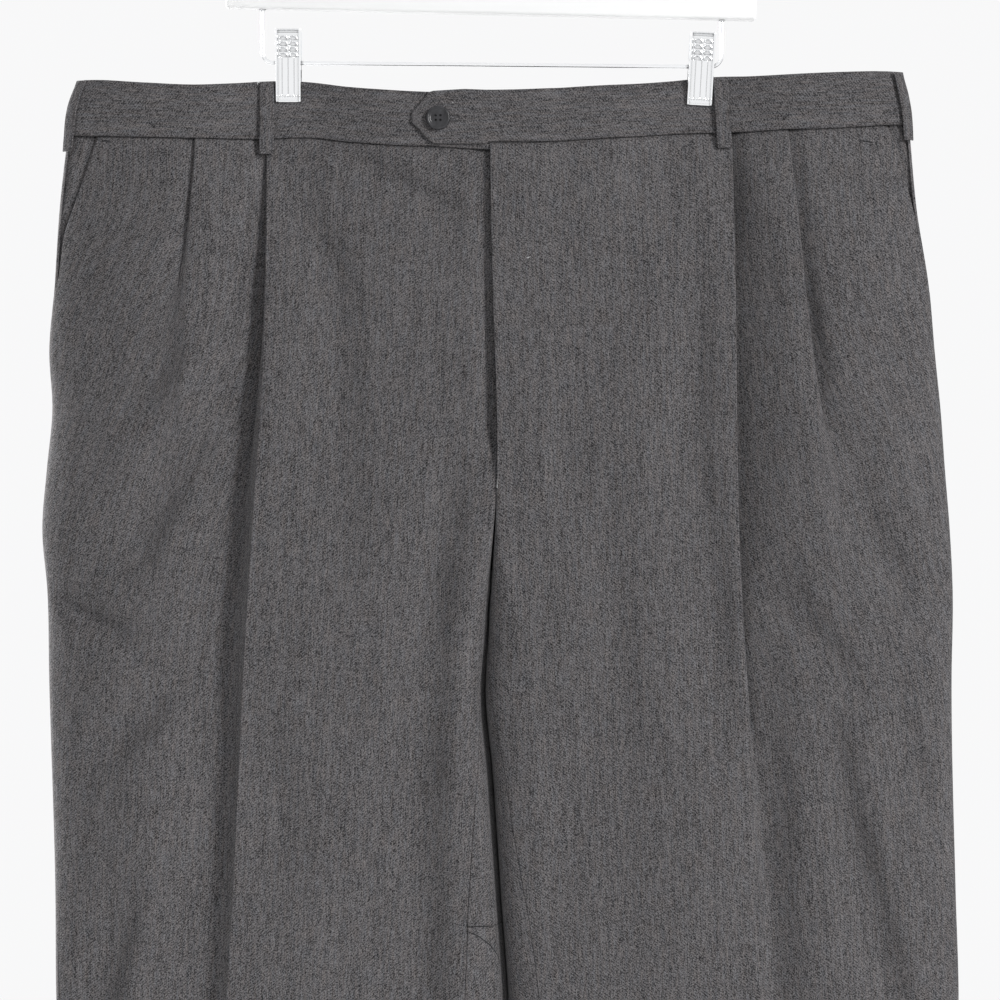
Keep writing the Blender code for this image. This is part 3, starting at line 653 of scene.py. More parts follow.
def back_row(side, row):
    """One row of a back panel from its allowance under the front's side edge to the middle or
    the inseam, and its run from the side."""
    drop = level(side, FAR, row)
    fold = read(SIDES, side, drop)
    turns = np.linspace(LAST_TURN, 90, 26)
    side_m, side_y = around(side, turns, level(side, folded_m(side, turns, drop), row))
    close = np.linspace(HALF_GAP, side_y[0], 5)[1:-1]
    lip = curl(fold, side_m[0], side_y[0], close)
    under = fold - ALLOWANCE_SINK
    side_m = np.concatenate([[under - 0.4, under, fold], lip, side_m])
    side_y = np.concatenate([[-ALLOWANCE, -0.6, HALF_GAP], close, side_y])
    inner, inner_y = inner_columns(side, 1, row, 0, BACK_CLOSER)
    flat = np.linspace(side_m[-1], inner[-1], 38)[1:-1]
    m = np.concatenate([side_m, flat, inner[::-1]])
    y = half_depth(side, 1, m, level(side, m, row))
    y[: len(side_y)] = side_y
    if inner_y is not None:
        y[-INNER_COLUMNS:] = inner_y[::-1]
    points = place(side, m, y - tucked(row), level(side, m, row))
    return points, cloth_uv(run_along(m, y) + BACK_ON_CLOTH * SIGN[side], row)


def shell(name, side, grid, uv, half, keep=None):
    """A thin closed wool shell round a grid of middle points, with its half thickness at each."""
    rows, columns = grid.shape[:2]
    normal = np.cross(np.gradient(grid, axis=1), np.gradient(grid, axis=0))
    normal *= -SIGN[side]
    normal /= np.maximum(np.linalg.norm(normal, axis=2, keepdims=True), 1e-12)
    offset = normal * half[..., None] * MM
    count = rows * columns
    points = np.concatenate([(grid + offset).reshape(-1, 3), (grid - offset).reshape(-1, 3)])
    index = np.arange(count).reshape(rows, columns)
    quads = np.stack([index[:-1, :-1], index[:-1, 1:], index[1:, 1:], index[1:, :-1]], -1)
    quads = quads.reshape(-1, 4) if keep is None else quads[keep]
    if SIGN[side] > 0:
        quads = quads[:, ::-1]
    edges = np.concatenate([quads[:, [k, (k + 1) % 4]] for k in range(4)])
    code = edges[:, 0] * count + edges[:, 1]
    open_edges = edges[~np.isin(code, edges[:, 1] * count + edges[:, 0])]
    rim = np.concatenate([open_edges[:, ::-1], open_edges + count], 1)
    faces = np.concatenate([quads, quads[:, ::-1] + count, rim])
    used, faces = np.unique(faces, return_inverse=True)
    faces = faces.reshape(-1, 4)
    mesh = bpy.data.meshes.new(name)
    mesh.from_pydata(points[used].tolist(), [], faces.tolist())
    layer = mesh.uv_layers.new(name="Cloth")
    layer.data.foreach_set("uv", uv.reshape(-1, 2)[used % count][faces.ravel()].ravel())
    mesh.update()
    shade_smooth(mesh, 55)
    return piece(name, mesh, "wool")


def shade_smooth(mesh, angle):
    """Smooth shading, with sharp edges where the faces meet at more than an angle in degrees."""
    mesh.polygons.foreach_set("use_smooth", np.ones(len(mesh.polygons), bool))
    mesh.set_sharp_from_angle(angle=math.radians(angle))


def added(name, data):
    """A new object in the scene."""
    ob = bpy.data.objects.new(name, data)
    bpy.context.scene.collection.objects.link(ob)
    return ob


def piece(name, mesh, finish):
    """A named object with its material, riding on the one body."""
    ob = added(name, mesh)
    mesh.materials.append(FINISHES[finish])
    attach(ob, BODY)
    return ob


def sheet(name, node, side, grid, uv, flat, rests_on, area=None, held="hung", half=None, keep=None):
    """A cloth shell in place of a CAD node; the flat size that it was cut to is not used."""
    if half is None:
        half = np.full(grid.shape[:2], WALL / 2)
        half[[0, -1], :] *= BORDER
        half[:, [0, -1]] *= BORDER
    ob = shell(name, side, grid, uv, half, keep)
    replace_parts(ob, node)


ROWS = spaced(
    (SEAM_LEVEL - UNDER_BAND, 1), (SEAM_LEVEL + TUCK_RUN, 3), (POCKET_END, 3), (FLY_END, 3),
    (CROTCH_TOP, 2.5), (FORK, 3.2), (FORK_PIECE_END, 3.2), (840, 9), (HEM - 3, 1), (HEM, 1),
)


def panel(make_row, side, rows):
    """Grids of points and of texture places from a function that makes one row of both."""
    points, uv = zip(*[make_row(side, row) for row in rows])
    return np.array(points), np.array(uv)


def make_fronts():
    """The two pleated fronts."""
    for side in SIGN:
        sheet("trouser_front_" + side, "front_" + side, side, *panel(front_row, side, ROWS),
              flat=(0.42, 1.1), rests_on="waistband_shell_" + side, area=0.38)


def make_backs():
    """The two backs, the right one without its fork piece's place."""
    for side in SIGN:
        grid, uv = panel(back_row, side, ROWS)
        rows, columns = grid.shape[:2]
        keep = np.ones((rows - 1, columns - 1), bool)
        if side == "right":
            first, last = (int(np.argmin(abs(ROWS - row))) for row in (FORK, FORK_PIECE_END))
            cut = columns - 1 - round(FORK_SHARE * (INNER_COLUMNS - 1))
            keep[first:last, cut:] = False
            make_fork_piece(grid[first : last + 1, cut:].copy(), uv[first : last + 1, cut:])
        sheet("trouser_back_" + side, "back_" + side, side, grid, uv,
              flat=(0.42, 1.1), rests_on="waistband_shell_" + side, area=0.4, keep=keep)


def make_fork_piece(grid, uv):
    """The triangle sewn into the right back at the top of its inseam."""
    gap = SEAM_GAP * MM
    for here, towards in (((0,), (1,)), ((-1,), (-2,)), ((slice(None), 0), (slice(None), 1))):
        away = grid[towards] - grid[here]
        away /= np.maximum(np.linalg.norm(away, axis=-1, keepdims=True), 1e-9)
        grid[here] += away * gap
    sheet("fork_piece_shell", "fork_piece_right", "right", grid, uv,
          flat=(0.06, 0.254), rests_on="trouser_back_right", area=0.011)


def facing_row(side, row):
    """One row of a pocket facing, from under the front's slanted edge to the side fold."""
    drop = level(side, FAR, row)
    fold = read(SIDES, side, drop)
    edge = min(line(POCKETS, side, drop), fold) - FACING_UNDER
    under = LAST_TURN
    if row < POCKET_END:
        under = max(turn_of(side, edge + FACING_UNDER, drop), LAST_TURN)
    turns = np.linspace(turn_of(side, edge, drop), LAST_TURN, 16)
    sink = FACING_SINK * (1 - ease((under - turns - 3) / 8))
    m, y = around(side, -turns, level(side, folded_m(side, turns, drop), row), -sink)
    close = np.linspace(y[-1], -HALF_GAP, 5)[1:]
    m, y = np.concatenate([m, curl(fold, m[-1], y[-1], close)]), np.concatenate([y, close])
    points = place(side, m, y + tucked(row) * 0.5, level(side, m, row))
    return points, cloth_uv(run_along(m, y) + FACING_ON_CLOTH, row)


def make_facings():
    """The strip that shows between each slanted pocket edge and the side."""
    rows = spaced(
        (SEAM_LEVEL - UNDER_BAND, 1), (SEAM_LEVEL + TUCK_RUN, 3), (POCKET_END, 3), (FACING_END, 3)
    )
    for side in SIGN:
        sheet("pocket_facing_shell_" + side, "pocket_facing_" + side, side, *panel(facing_row, side, rows),
              flat=(0.035, 0.165), rests_on="trouser_front_" + side, area=0.0045)


def shield_row(side, drop):
    """One row of the fly shield, which narrows towards its foot."""
    middle = read(MIDDLE, side, drop)
    width = 38 - 16 * ease((drop - 380) / 45)
    m = np.linspace(middle - 7, middle + width, 18)
    return place(side, m, SHIELD_SINK - half_depth(side, -1, m, drop), drop), cloth_uv(m, drop)


def make_fly_shield():
    """The underlap that closes the fly from behind, on the right front's edge."""
    sheet("fly_shield_shell", "fly_shield", "left", *panel(shield_row, "left", np.linspace(204.2, 425, 60)),
          flat=(0.046, 0.222), rests_on="trouser_front_right", area=0.0097)


def band_edges(side, m):
    """Top and bottom drops of the waistband at m, the tab's included."""
    top, bottom = read(BAND, "top_" + side, m), seam_drop(side, m)
    if side == "left":
        on_tab = m < TAB["x"][-1]
        top = np.where(on_tab, line(TAB, "top", m), top)
        bottom = np.where(on_tab, line(TAB, "bottom", m), bottom)
    return top, bottom


def rounded(distance, half):
    """Half thickness at a distance from a rounded edge."""
    t = np.clip(distance / half, 0, 1)
    return half * np.sqrt(np.maximum(1 - (1 - t) ** 2, 0.04))


def make_waistbands():
    """Each half of the band, from its front end round the side fold to the centre back."""
    ends = np.array([0, 0.2, 0.55, BAND_WALL / 2, 2.4, 4.2]) / BAND_HEIGHT
    shares = np.concatenate([ends, np.linspace(0.15, 0.85, 13), 1 - ends[::-1]])
    for side in SIGN:
        front = spaced(*BAND_STOPS[side])
        turns = np.linspace(turn_of(side, BAND_TURN, 165), 1.0, 22)[1:]
        turns = np.concatenate([-turns, turns[::-1]])
        back = np.linspace(BAND_TURN, SIGN[side] * MIDDLE["left"][0] + HALF_GAP, 96)
        m = np.concatenate([front, folded_m(side, turns, BAND_DROP), back])
        turns = np.concatenate([0 * front - 90, turns, 0 * back + 90])
        face, aside = np.sin(np.radians(turns)), np.cos(np.radians(turns))
        raised = TAB_RAISE * (1 - ease((m - 36) / 16)) * (side == "left") * (turns == -90)
        top, bottom = band_edges(side, m)
        points, half = [], []
        for share in shares:
            drop = top + (bottom - top) * share
            lean = (read(SIDES, side, drop) - read(SIDES, side, BAND_DROP)) * ease((m - BAND_TURN - 4) / 35)
            bulge = np.sin(math.pi * share) ** 0.6 * (0.35 + 0.25 * band_ripple(side, m))
            y = skin_y(side, turns, m, drop) - raised + face * bulge
            points.append(place(side, m + lean + aside * bulge, y, drop))
            near = np.minimum(share, 1 - share) * (bottom - top)
            half.append(rounded(np.minimum(near, run_along(m + lean + aside * bulge, y)), BAND_WALL / 2))
        grid = np.array(points)
        across, along = shares[:, None] * BAND_HEIGHT * MM, run_along(*grid[12].T)[None, :]
        sheet("waistband_shell_" + side, "waistband_" + side, side, grid,
              np.stack(np.broadcast_arrays(across, along), -1), flat=(0.043, 0.68),
              rests_on="clip_%s_plates" % side, area=0.0285, held="stretched", half=np.array(half))


def band_ripple(side, m):
    """Slight waves along the waistband, strongest beside the clip."""
    near = bump(m - CLIPS[side][0], 45)
    return (0.5 + near) * np.sin(m / 7.3 + SIGN[side]) + 0.6 * np.sin(m / 17.9 + 2 * SIGN[side])


def loop_strip(name, side, point_at):
    """A belt loop: sewn down at both ends and standing off the band between them."""
    base = 1.2 + SEAM_GAP + LOOP_WALL / 2 + 0.15
    shares = np.concatenate([[0, 0.008, 0.02], np.linspace(0.05, 0.95, 28), [0.98, 0.992, 1]])
    stand = np.interp(shares, (0, 0.1, 0.3, 0.6, 0.86, 1), (0, 0, 0.9, 1.1, 0.7, 0.2))
    half_way = np.array([0, 1.2, 2.4, 3.6, 4.2, 4.8, 5.3, LOOP_HALF])
    across = np.concatenate([-half_way[:0:-1], half_way])
    crown = 0.25 - 0.3 * bump(abs(across) - 4.2, 0.5)
    grid = np.array([point_at(s, across, base + up + crown) for s, up in zip(shares, stand)])
    near = np.minimum(LOOP_HALF - abs(across)[None, :], (np.minimum(shares, 1 - shares) * 50)[:, None])
    uv = np.stack(np.broadcast_arrays(across[None, :] * MM, shares[:, None] * 0.052), -1)
    sheet("belt_loop_shell_" + name, "belt_loop_" + name, side, grid, uv, flat=(0.011, 0.054),
          rests_on="waistband_shell_" + side, held="stretched", half=rounded(near, LOOP_WALL / 2))


def make_belt_loops():
    """Seven loops: two in front, two at the sides and three behind."""

    def drops(side, m, share):
        top, bottom = read(BAND, "top_" + side, m) + 0.6, seam_drop(side, m) + LOOP_REACH
        return top + (bottom - top) * share

    def flat(side, face, middle, lean):
        def point_at(share, across, out):
            m = middle - face * across + lean * (share - 0.5)
            return skin(side, face, m, drops(side, m, share), out)

        return point_at

    def folded(side):
        def point_at(share, across, out):
            drop = drops(side, FAR, share)
            return place(side, *around(side, across * 1.25 - 12, drop, out + 0.35), drop)

        return point_at

    def centre(share, across, out):
        points = skin("left", 1, abs(across), drops("left", 0, share), out)
        points[:, 0] *= -np.sign(across)
        return points

    for name, (side, middle, lean) in LOOPS.items():
        loop_strip(name, side, flat(side, -1, middle, lean))
    for side in SIGN:
        loop_strip("side_" + side, side, folded(side))
        loop_strip("back_" + side, side, flat(side, 1, 185, 0))
    loop_strip("centre_back", "left", centre)


# Button
BUTTON = {"x": -39.2, "drop": 180.3, "radius": 9.0, "holes": 1.75, "bore": 0.85}
BUTTON_PROFILE = (
    (0, 1.7), (3.2, 1.7), (5.2, 1.75), (6.1, 1.95), (6.7, 2.5), (7.3, 2.95), (7.8, 3.0), (8.3, 2.8),
    (8.75, 2.3), (9.0, 1.6), (8.9, 1.0), (8.4, 0.45), (7.4, 0.1), (5.0, 0.0), (0, 0),
)

# Hanger
BAR = (391, 12, 40)
BAR_DROP = 82.4
BAR_TILT = 1.35
BAR_EDGE = 2.5
ROD_WIRE = 1.5
ROD = {"right": (-168.9, 137.8), "left": (169.8, 140.8)}
ROD_BEND = 8
ROD_SINK = 12
HOOK_RADIUS = 19
HOOK_WIRE = 1.9
PLATE = (18.6, 1.0, 53.8)
CLIP_TOP = 113.6
CLIP_LEAN = 6.2
JAW_GAP = 3.1
EAR_DEPTH = 9.8


def mesh_piece(name, form, slot, smooth=35):
    """A piece from a bmesh in millimetres, shaded smooth up to an angle."""
    bmesh.ops.recalc_face_normals(form, faces=form.faces)
    mesh = bpy.data.meshes.new(name)
    bmesh.ops.scale(form, vec=(MM, MM, MM), verts=form.verts)
    form.to_mesh(mesh)
    form.free()
    shade_smooth(mesh, smooth)
    return piece(name, mesh, slot)


def tube(form, path, radius, sides=8):
    """Adds a round tube along the path's points to a bmesh."""
    path = np.array(path, float)
    run = np.gradient(path, axis=0)
    run /= np.maximum(np.linalg.norm(run, axis=1, keepdims=True), 1e-9)
    side = np.cross(run[0], (0.3, 1, 0.2))
    side /= np.linalg.norm(side)
    rings = []
    for p, t, r in zip(path, run, np.broadcast_to(radius, len(path))):
        side = side - t * side.dot(t)
        side /= np.linalg.norm(side)
        up = np.cross(t, side)
        turns = 2 * math.pi * np.arange(sides) / sides
        rings.append([form.verts.new(p + r * (math.cos(a) * side + math.sin(a) * up)) for a in turns])
    join_rings(form, zip(rings, rings[1:]))
    form.faces.new(rings[0][::-1])
    form.faces.new(rings[-1])


def join_rings(form, pairs):
    """Adds a band of faces between the two rings of each pair to a bmesh."""
    for low, high in pairs:
        for k in range(len(low)):
            j = (k + 1) % len(low)
            form.faces.new((low[k], low[j], high[j], high[k]))


def band_skin_front(x, drop, out):
    """A point in millimetres in front of the left waistband or tab, at x and drop."""
    y = -half_depth("left", -1, np.array(float(x)), drop) - TAB_RAISE - out
    return np.array([x, float(y), -drop])


def make_button():
    """A four-hole button with a raised rim, sewn on with dark thread."""
    form = bmesh.new()
    corners = [form.verts.new((r, 0, h)) for r, h in BUTTON_PROFILE]
    edges = [form.edges.new(pair) for pair in zip(corners, corners[1:])]
    bmesh.ops.spin(form, geom=corners + edges, axis=(0, 0, 1), cent=(0, 0, 0), steps=96, angle=2 * math.pi)
    bmesh.ops.remove_doubles(form, verts=form.verts, dist=0.001)
    ob = mesh_piece("button_shell", form, "horn", 40)
    x, drop, radius, hole, bore = BUTTON.values()
    holes = [(sx * hole, sy * hole) for sx in (-1, 1) for sy in (-1, 1)]
    cutters = bmesh.new()
    for at in holes:
        made = bmesh.ops.create_cone(cutters, cap_ends=True, segments=20, radius1=bore * MM,
                                     radius2=bore * MM, depth=12 * MM)
        bmesh.ops.translate(cutters, vec=(at[0] * MM, at[1] * MM, 0), verts=made["verts"])
    carve(ob, cutters)
    low, high = band_skin_front(x, drop + radius, 0), band_skin_front(x, drop - radius, 0)
    tilt = math.atan((high[1] - low[1]) / (2 * radius))
    ob.location = Vector(band_skin_front(x, drop, BAND_WALL / 2 + SEAM_GAP + 0.15)) * MM
    ob.rotation_euler = (math.radians(90) - tilt, 0, math.radians(4))
    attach(ob, BODY)
    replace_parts(ob, "button")
    thread = bmesh.new()
    for x, y in holes:
        for lift in (-0.3, 0.3):
            tube(thread, [(x * k, y + lift, z) for k, z in ((0.95, 0.3), (1, 0.8), (1.05, 1.1))], 0.26, 6)
    sewn = mesh_piece("button_thread", thread, "thread")
    sewn.location, sewn.rotation_euler = ob.location, ob.rotation_euler


def carve(ob, cutters):
    """Cuts a bmesh out of an object and leaves the plain result."""
    mesh = bpy.data.meshes.new("cutter")
    cutters.to_mesh(mesh)
    cutters.free()
    tool = added("cutter", mesh)
    modifier = ob.modifiers.new("Cut", "BOOLEAN")
    modifier.operation = "DIFFERENCE"
    modifier.solver = "EXACT"
    modifier.object = tool
    bpy.context.view_layer.update()
    cut = bpy.data.meshes.new_from_object(ob.evaluated_get(bpy.context.evaluated_depsgraph_get()))
    ob.modifiers.clear()
    cut.name = ob.data.name
    ob.data = cut
    shade_smooth(cut, 40)
    bpy.data.objects.remove(tool)


def make_buttonhole():
    """The purl of thread round the keyhole that the button goes through."""
    form = bmesh.new()
    left, right, high = -38.5, -25.4, 2.2
    steps = np.linspace(0, 1, 26, endpoint=False)
    outline = [(left + (right - left) * t, high) for t in steps]
    outline += [(right + 1.9 * math.cos(a), (high + 0.35) * math.sin(a))
                for a in np.radians(np.linspace(90, -90, 12, endpoint=False))]
    outline += [(right + (left - right) * t, -high) for t in steps]
    for k, (x, z) in enumerate(outline):
        wide = 0.75 if k % 2 else 0.62
        away = np.array([max(x - right, 0), z])
        away /= max(math.hypot(*away), 0.1)
        tube(form, [
            band_skin_front(x + away[0] * s, BUTTON["drop"] - z - away[1] * s, BAND_WALL / 2 + lift)
            for s, lift in ((-wide, 0.05), (-0.3, 0.35), (0.3, 0.35), (wide, 0.05))
        ], 0.2, 5)
    slit = np.linspace(left, right + 1, 12)
    tube(form, [band_skin_front(x, BUTTON["drop"], BAND_WALL / 2 - 0.25) for x in slit], 0.6, 8)
    mesh_piece("buttonhole_purl", form, "thread")


def stitch_row(form, points, length, gap, radius):
    """Adds short stitches along a path, which stand out of the front and sink in at their ends."""
    points = np.array(points, float)
    run = run_along(*points.T)
    for start in np.arange(gap, run[-1] - length, length + gap):
        where = np.linspace(start, start + length, 5)
        stitch = np.stack([np.interp(where, run, axis) for axis in points.T], -1)
        stitch[:, 1] -= (-0.15, 0.1, 0.16, 0.1, -0.15)
        tube(form, stitch, radius, 5)


def front_point(side, m, drop, out):
    """A point in millimetres on the front's outer face at m and drop, moved out."""
    m = np.array(float(m))
    y = -half_depth(side, -1, m, drop) - fly_raise(side, m, drop) - WALL / 2 - out
    return np.array([SIGN[side] * float(m), float(y), -drop])


def make_tacks():
    """Bar tacks at the pocket ends, as rows of tight thread."""
    form = bmesh.new()
    for side, m, drop, across, down, count in (
        ("left", 275.4, 196.8, 9.5, 1.2, 14), ("left", 283.6, 200.0, 0.9, 5.5, 9),
        ("right", 283.0, 196.5, 6.5, -0.6, 10), ("right", 292.8, 268.0, 3.0, 2.0, 6),
    ):
        for s in np.linspace(-0.5, 0.5, count):
            here = m + across * s, drop + down * s
            bar = [front_point(side, here[0] + k * 0.25, here[1] + k * 0.55, 0.02) for k in (-1, 0, 1)]
            bar[1][1] -= 0.18
            tube(form, bar, 0.2, 5)
    mesh_piece("bar_tacks", form, "thread")


def make_fly_stitching():
    """The J of stitches that holds the fly's facing."""
    form = bmesh.new()
    path = [(33.5, drop) for drop in np.linspace(208, 372, 60)]
    path += [(33.5 - 26 * (1 - math.cos(a)), 372 + 47 * math.sin(a)) for a in np.linspace(0.05, 1.45, 26)]
    points = [front_point("left", m, drop, -0.05) for m, drop in path]
    stitch_row(form, points, 1.6, 1.6, 0.1)
    mesh_piece("fly_stitching", form, "wool_thread")


def make_fork_seam():
    """The short arc of stitching where the right leg's fork lining ends, and the row above it."""
    form = bmesh.new()
    arc = (
        (-17.6, 775.4), (-10.3, 778.4), (-6.3, 781.4), (-1.1, 786), (2.2, 790.3), (4.8, 795.2), (5.8, 800.5),
    )
    row = ((-15.6, 772.2), (-8, 772), (0.9, 772.8))
    for path, radius in ((arc, 0.36), (row, 0.32)):
        run = smooth_path([(x, 0, drop) for x, drop in path], 40)
        tube(form, [inner_point("right", x, drop, 0.12) for x, _, drop in run], radius, 6)
    mesh_piece("fork_seam", form, "thread")


def inner_point(side, x, drop, out):
    """A point in millimetres on the front's outer face beside a leg's inner edge."""
    m = SIGN[side] * x
    share = np.clip((m - SIGN[side] * read(MIDDLE, side, drop)) / read(FORKS, "round", drop), 0.005, 1)
    turn = read(FORKS, "turn", drop)
    full = half_depth(side, -1, np.array(m), drop)
    depth = full * (1 - turn + turn * (1 - (1 - share) ** 2) ** (EDGE_FULLNESS / 2))
    return np.array([x, -float(depth) - WALL / 2 - out, -drop])


def make_lint():
    """Specks of pale lint on the left thigh, the tab and the right of the band."""
    form = bmesh.new()
    rng = np.random.default_rng(7)
    spots = ((27.0, 283.2, 0.9), (-172.1, 153.3, 1.6), (-28.4, 168.9, 0.7), (-171.0, 152.6, 1.2))
    for x, drop, size in spots:
        side = "left" if x > -60 else "right"
        for _ in range(3):
            walk = np.cumsum(rng.normal(0, size * 0.5, (6, 2)), 0)
            points = []
            for dx, dz in walk - walk.mean(0):
                if drop < 200:
                    out = (BAND_WALL if side == "right" else BAND_WALL + TAB_RAISE * 2) / 2 + 0.25
                    y = -half_depth(side, -1, np.array(abs(x + dx)), drop) - out
                    points.append((x + dx, float(y), -drop + dz))
                else:
                    points.append(front_point("left", x + dx, drop - dz, 0.2))
            tube(form, points, 0.09, 4)
    mesh_piece("lint", form, "lint")


def rod_drop(x):
    """Drop of the rod's level run at x."""
    (x0, d0), (x1, d1) = ROD["right"], ROD["left"]
    return d0 + (d1 - d0) * (x - x0) / (x1 - x0)


def bar_bottom(x):
    """Drop of the tilted bar's underside at x."""
    return BAR_DROP + BAR[2] / 2 + x * math.tan(math.radians(BAR_TILT))


def make_bar():
    """The white bar, tilted as it hangs, and the rims where the hook and the rod go into it."""
    form = bmesh.new()
    bmesh.ops.create_cube(form, size=1)
    bmesh.ops.scale(form, vec=BAR, verts=form.verts)
    bmesh.ops.bevel(form, geom=form.edges[:], offset=BAR_EDGE, segments=6, profile=0.5, affect="EDGES")
    ob = mesh_piece("hanger_bar_shell", form, "white_lacquer", 30)
    ob.rotation_euler = (0, math.radians(BAR_TILT), 0)
    ob.location = Vector((0, 0, -BAR_DROP)) * MM
    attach(ob, BODY)
    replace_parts(ob, "hanger_bar")
    form = bmesh.new()
    turns = np.linspace(0, 2 * math.pi, 33)[:-1]
    for x, drop, wire, up in [(0, BAR_DROP - BAR[2] / 2, HOOK_WIRE, 1)] + [
        (x, bar_bottom(x), ROD_WIRE, -1) for x, _ in ROD.values()
    ]:
        rows = []
        for a in np.linspace(0, 2 * math.pi, 13)[:-1]:
            r, z = wire + 0.9 * math.cos(a) + 0.35, up * (0.5 * math.sin(a) + 0.45) - drop
            rows.append([form.verts.new((r * math.cos(t) + x, r * math.sin(t), z)) for t in turns])
        join_rings(form, zip(rows, rows[1:] + rows[:1]))
    mesh_piece("wire_grommets", form, "chrome")


def make_rod():
    """The U-shaped wire under the bar that carries the clips."""
    path = []
    for side, (x, drop) in ROD.items():
        run = [(x, 0, z) for z in np.linspace(-bar_bottom(x) + ROD_SINK - 0.8, -drop + ROD_BEND + 3, 12)]
        for a in np.radians(np.linspace(0, 90, 22)):
            inward = -SIGN[side] * ROD_BEND * (1 - math.cos(a))
            run.append((x + inward, 0, -drop + ROD_BEND - ROD_BEND * math.sin(a)))
        path += run if side == "right" else run[::-1]
    form = bmesh.new()
    tube(form, path, ROD_WIRE, 24)
    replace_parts(mesh_piece("clip_rod", form, "chrome"), "trouser_rod")


def make_hook():
    """The wire hook, with its shank in the bar and a rounded tip."""
    middle = -HOOK_RADIUS
    centre = HOOK_RADIUS + HOOK_WIRE
    top = -BAR_DROP + BAR[2] / 2
    shank = [(0, 0, z) for z in np.linspace(top - 9.8, top + 5, 12)]
    shank += [(-0.2, 0, top + 8), (-0.9, 0, middle - centre - 2.2), (-4.2, 0, middle - centre + 0.9)]
    bend = np.radians(np.linspace(248, -12, 80))
    arc = [(centre * math.cos(a), 0, middle + centre * math.sin(a)) for a in bend]
    path = smooth_path(shank + arc, 160)
    form = bmesh.new()
    to_tip = np.minimum(np.arange(len(path))[::-1] / 2.5, 1)
    tube(form, path, HOOK_WIRE * np.sqrt(np.maximum(1 - (1 - to_tip) ** 2, 0.02)), 24)
    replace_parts(mesh_piece("hook_wire", form, "chrome"), "hanger_hook")


def smooth_path(points, count):
    """Evenly spaced points on a smooth curve through the given ones."""
    axes = np.array(points, float).T
    columns = dict(zip("sxyz", (run_along(*axes), *axes)))
    where = np.linspace(0, columns["s"][-1], count)
    return np.stack([read(columns, axis, where) for axis in "xyz"], -1)


def grip_height(a, b, face):
    """Height of a clip plate's outer face at a across and b up from its foot."""
    width, _, height = PLATE
    edge = width / 2 - abs(a)
    inside_rims = ease((edge - 1.7) / 0.4)
    rise = 0.55 * np.maximum(ease((1.9 - edge) / 0.5), ease((b - height + 1.2) / 0.4))
    slot = ease((b - height + 3.2) / 0.3) * (1 - ease((b - height + 1.5) / 0.3))
    rise = rise - 0.5 * slot * inside_rims
    if face < 0:
        for k in range(4):
            for centre in (-3.55, 3.55):
                u = (a - centre) / 3.1
                v = (b - height + 8.2 + 4.15 * k) / 3.0
                out = u * u + np.maximum(v, 0) ** 2
                pocket = ease((1 - out) / 0.35) * ease((v + 0.12) / 0.16)
                arch = bump(np.sqrt(out) - 1.08, 0.14) * ease((v + 0.1) / 0.2)
                rise = rise - 0.65 * pocket + 0.4 * arch * inside_rims
        below = 1 - ease((b - height + 21.5) / 1.5)
        for groove in (-4.4, 0, 4.4):
            rise = rise - 0.35 * bump(a - groove, 0.32) * below * ease((b - 4) / 2)
        rise = rise + 0.3 * (np.sin(a * 2 * math.pi / 1.9) > 0) * bump(b - 4.3, 0.9)
    rise = rise + 0.35 * ease((1.4 - b) / 0.5)
    return rise * ease(edge / 0.35) * ease(b / 0.35) * ease((height - b) / 0.35)


def make_clip(side):
    """Two pressed plates on the rod, their ears and the spring that closes them."""
    m, lean, lower = CLIPS[side]
    x = SIGN[side] * m
    rod = rod_drop(x)
    width, wall, height = PLATE
    bottom = CLIP_TOP + height + lower
    lean_y, tilt = math.radians(CLIP_LEAN), math.radians(lean)
    plates = bmesh.new()
    for face in (-1, 1):
        up = np.array([0, face * math.sin(lean_y), math.cos(lean_y)])
        centre = np.array([x, face * (JAW_GAP + wall / 2 + 0.3), -bottom]) + up * height / 2
        step = 0.24 if face < 0 else 0.6
        a, b = np.meshgrid(np.linspace(-width / 2, width / 2, round(width / step) + 1),
                           np.linspace(0, height, round(height / step) + 1))
        rise = grip_height(a, b, face)
        layers = []
        for out in (wall / 2 + rise, -wall / 2 + 0 * rise):
            y = face * out * math.cos(lean_y) + (b - height / 2) * up[1]
            z = (b - height / 2) * up[2] - out * math.sin(lean_y)
            turned = (a * math.cos(tilt) + z * math.sin(tilt), y, z * math.cos(tilt) - a * math.sin(tilt))
            layers.append(np.stack(turned, -1) + centre)
        close_grid(plates, *layers)
        inward = 0.0 if face < 0 else 1.35
        for end in (-1, 1):
            at_x = x + end * (width / 2 - 0.5 - inward)
            add_ear(plates, (at_x, face * (EAR_DEPTH / 2 - 2.6), -rod), (0.9, EAR_DEPTH, 11))
    ob = mesh_piece("clip_%s_plates" % side, plates, "chrome", 28)
    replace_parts(ob, "clip_%s_front" % side, "clip_%s_back" % side)
    coil = bmesh.new()
    turns, half = 5.5, 5.6
    path = []
    for t in np.linspace(0, 1, int(turns * 20)):
        a = 2 * math.pi * turns * t
        path.append((x - half + 2 * half * t, 2.5 * math.sin(a), -rod + 2.5 * math.cos(a)))
    tube(coil, path, 0.55, 8)
    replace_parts(mesh_piece("clip_%s_coil" % side, coil, "chrome"), "clip_%s_spring" % side)


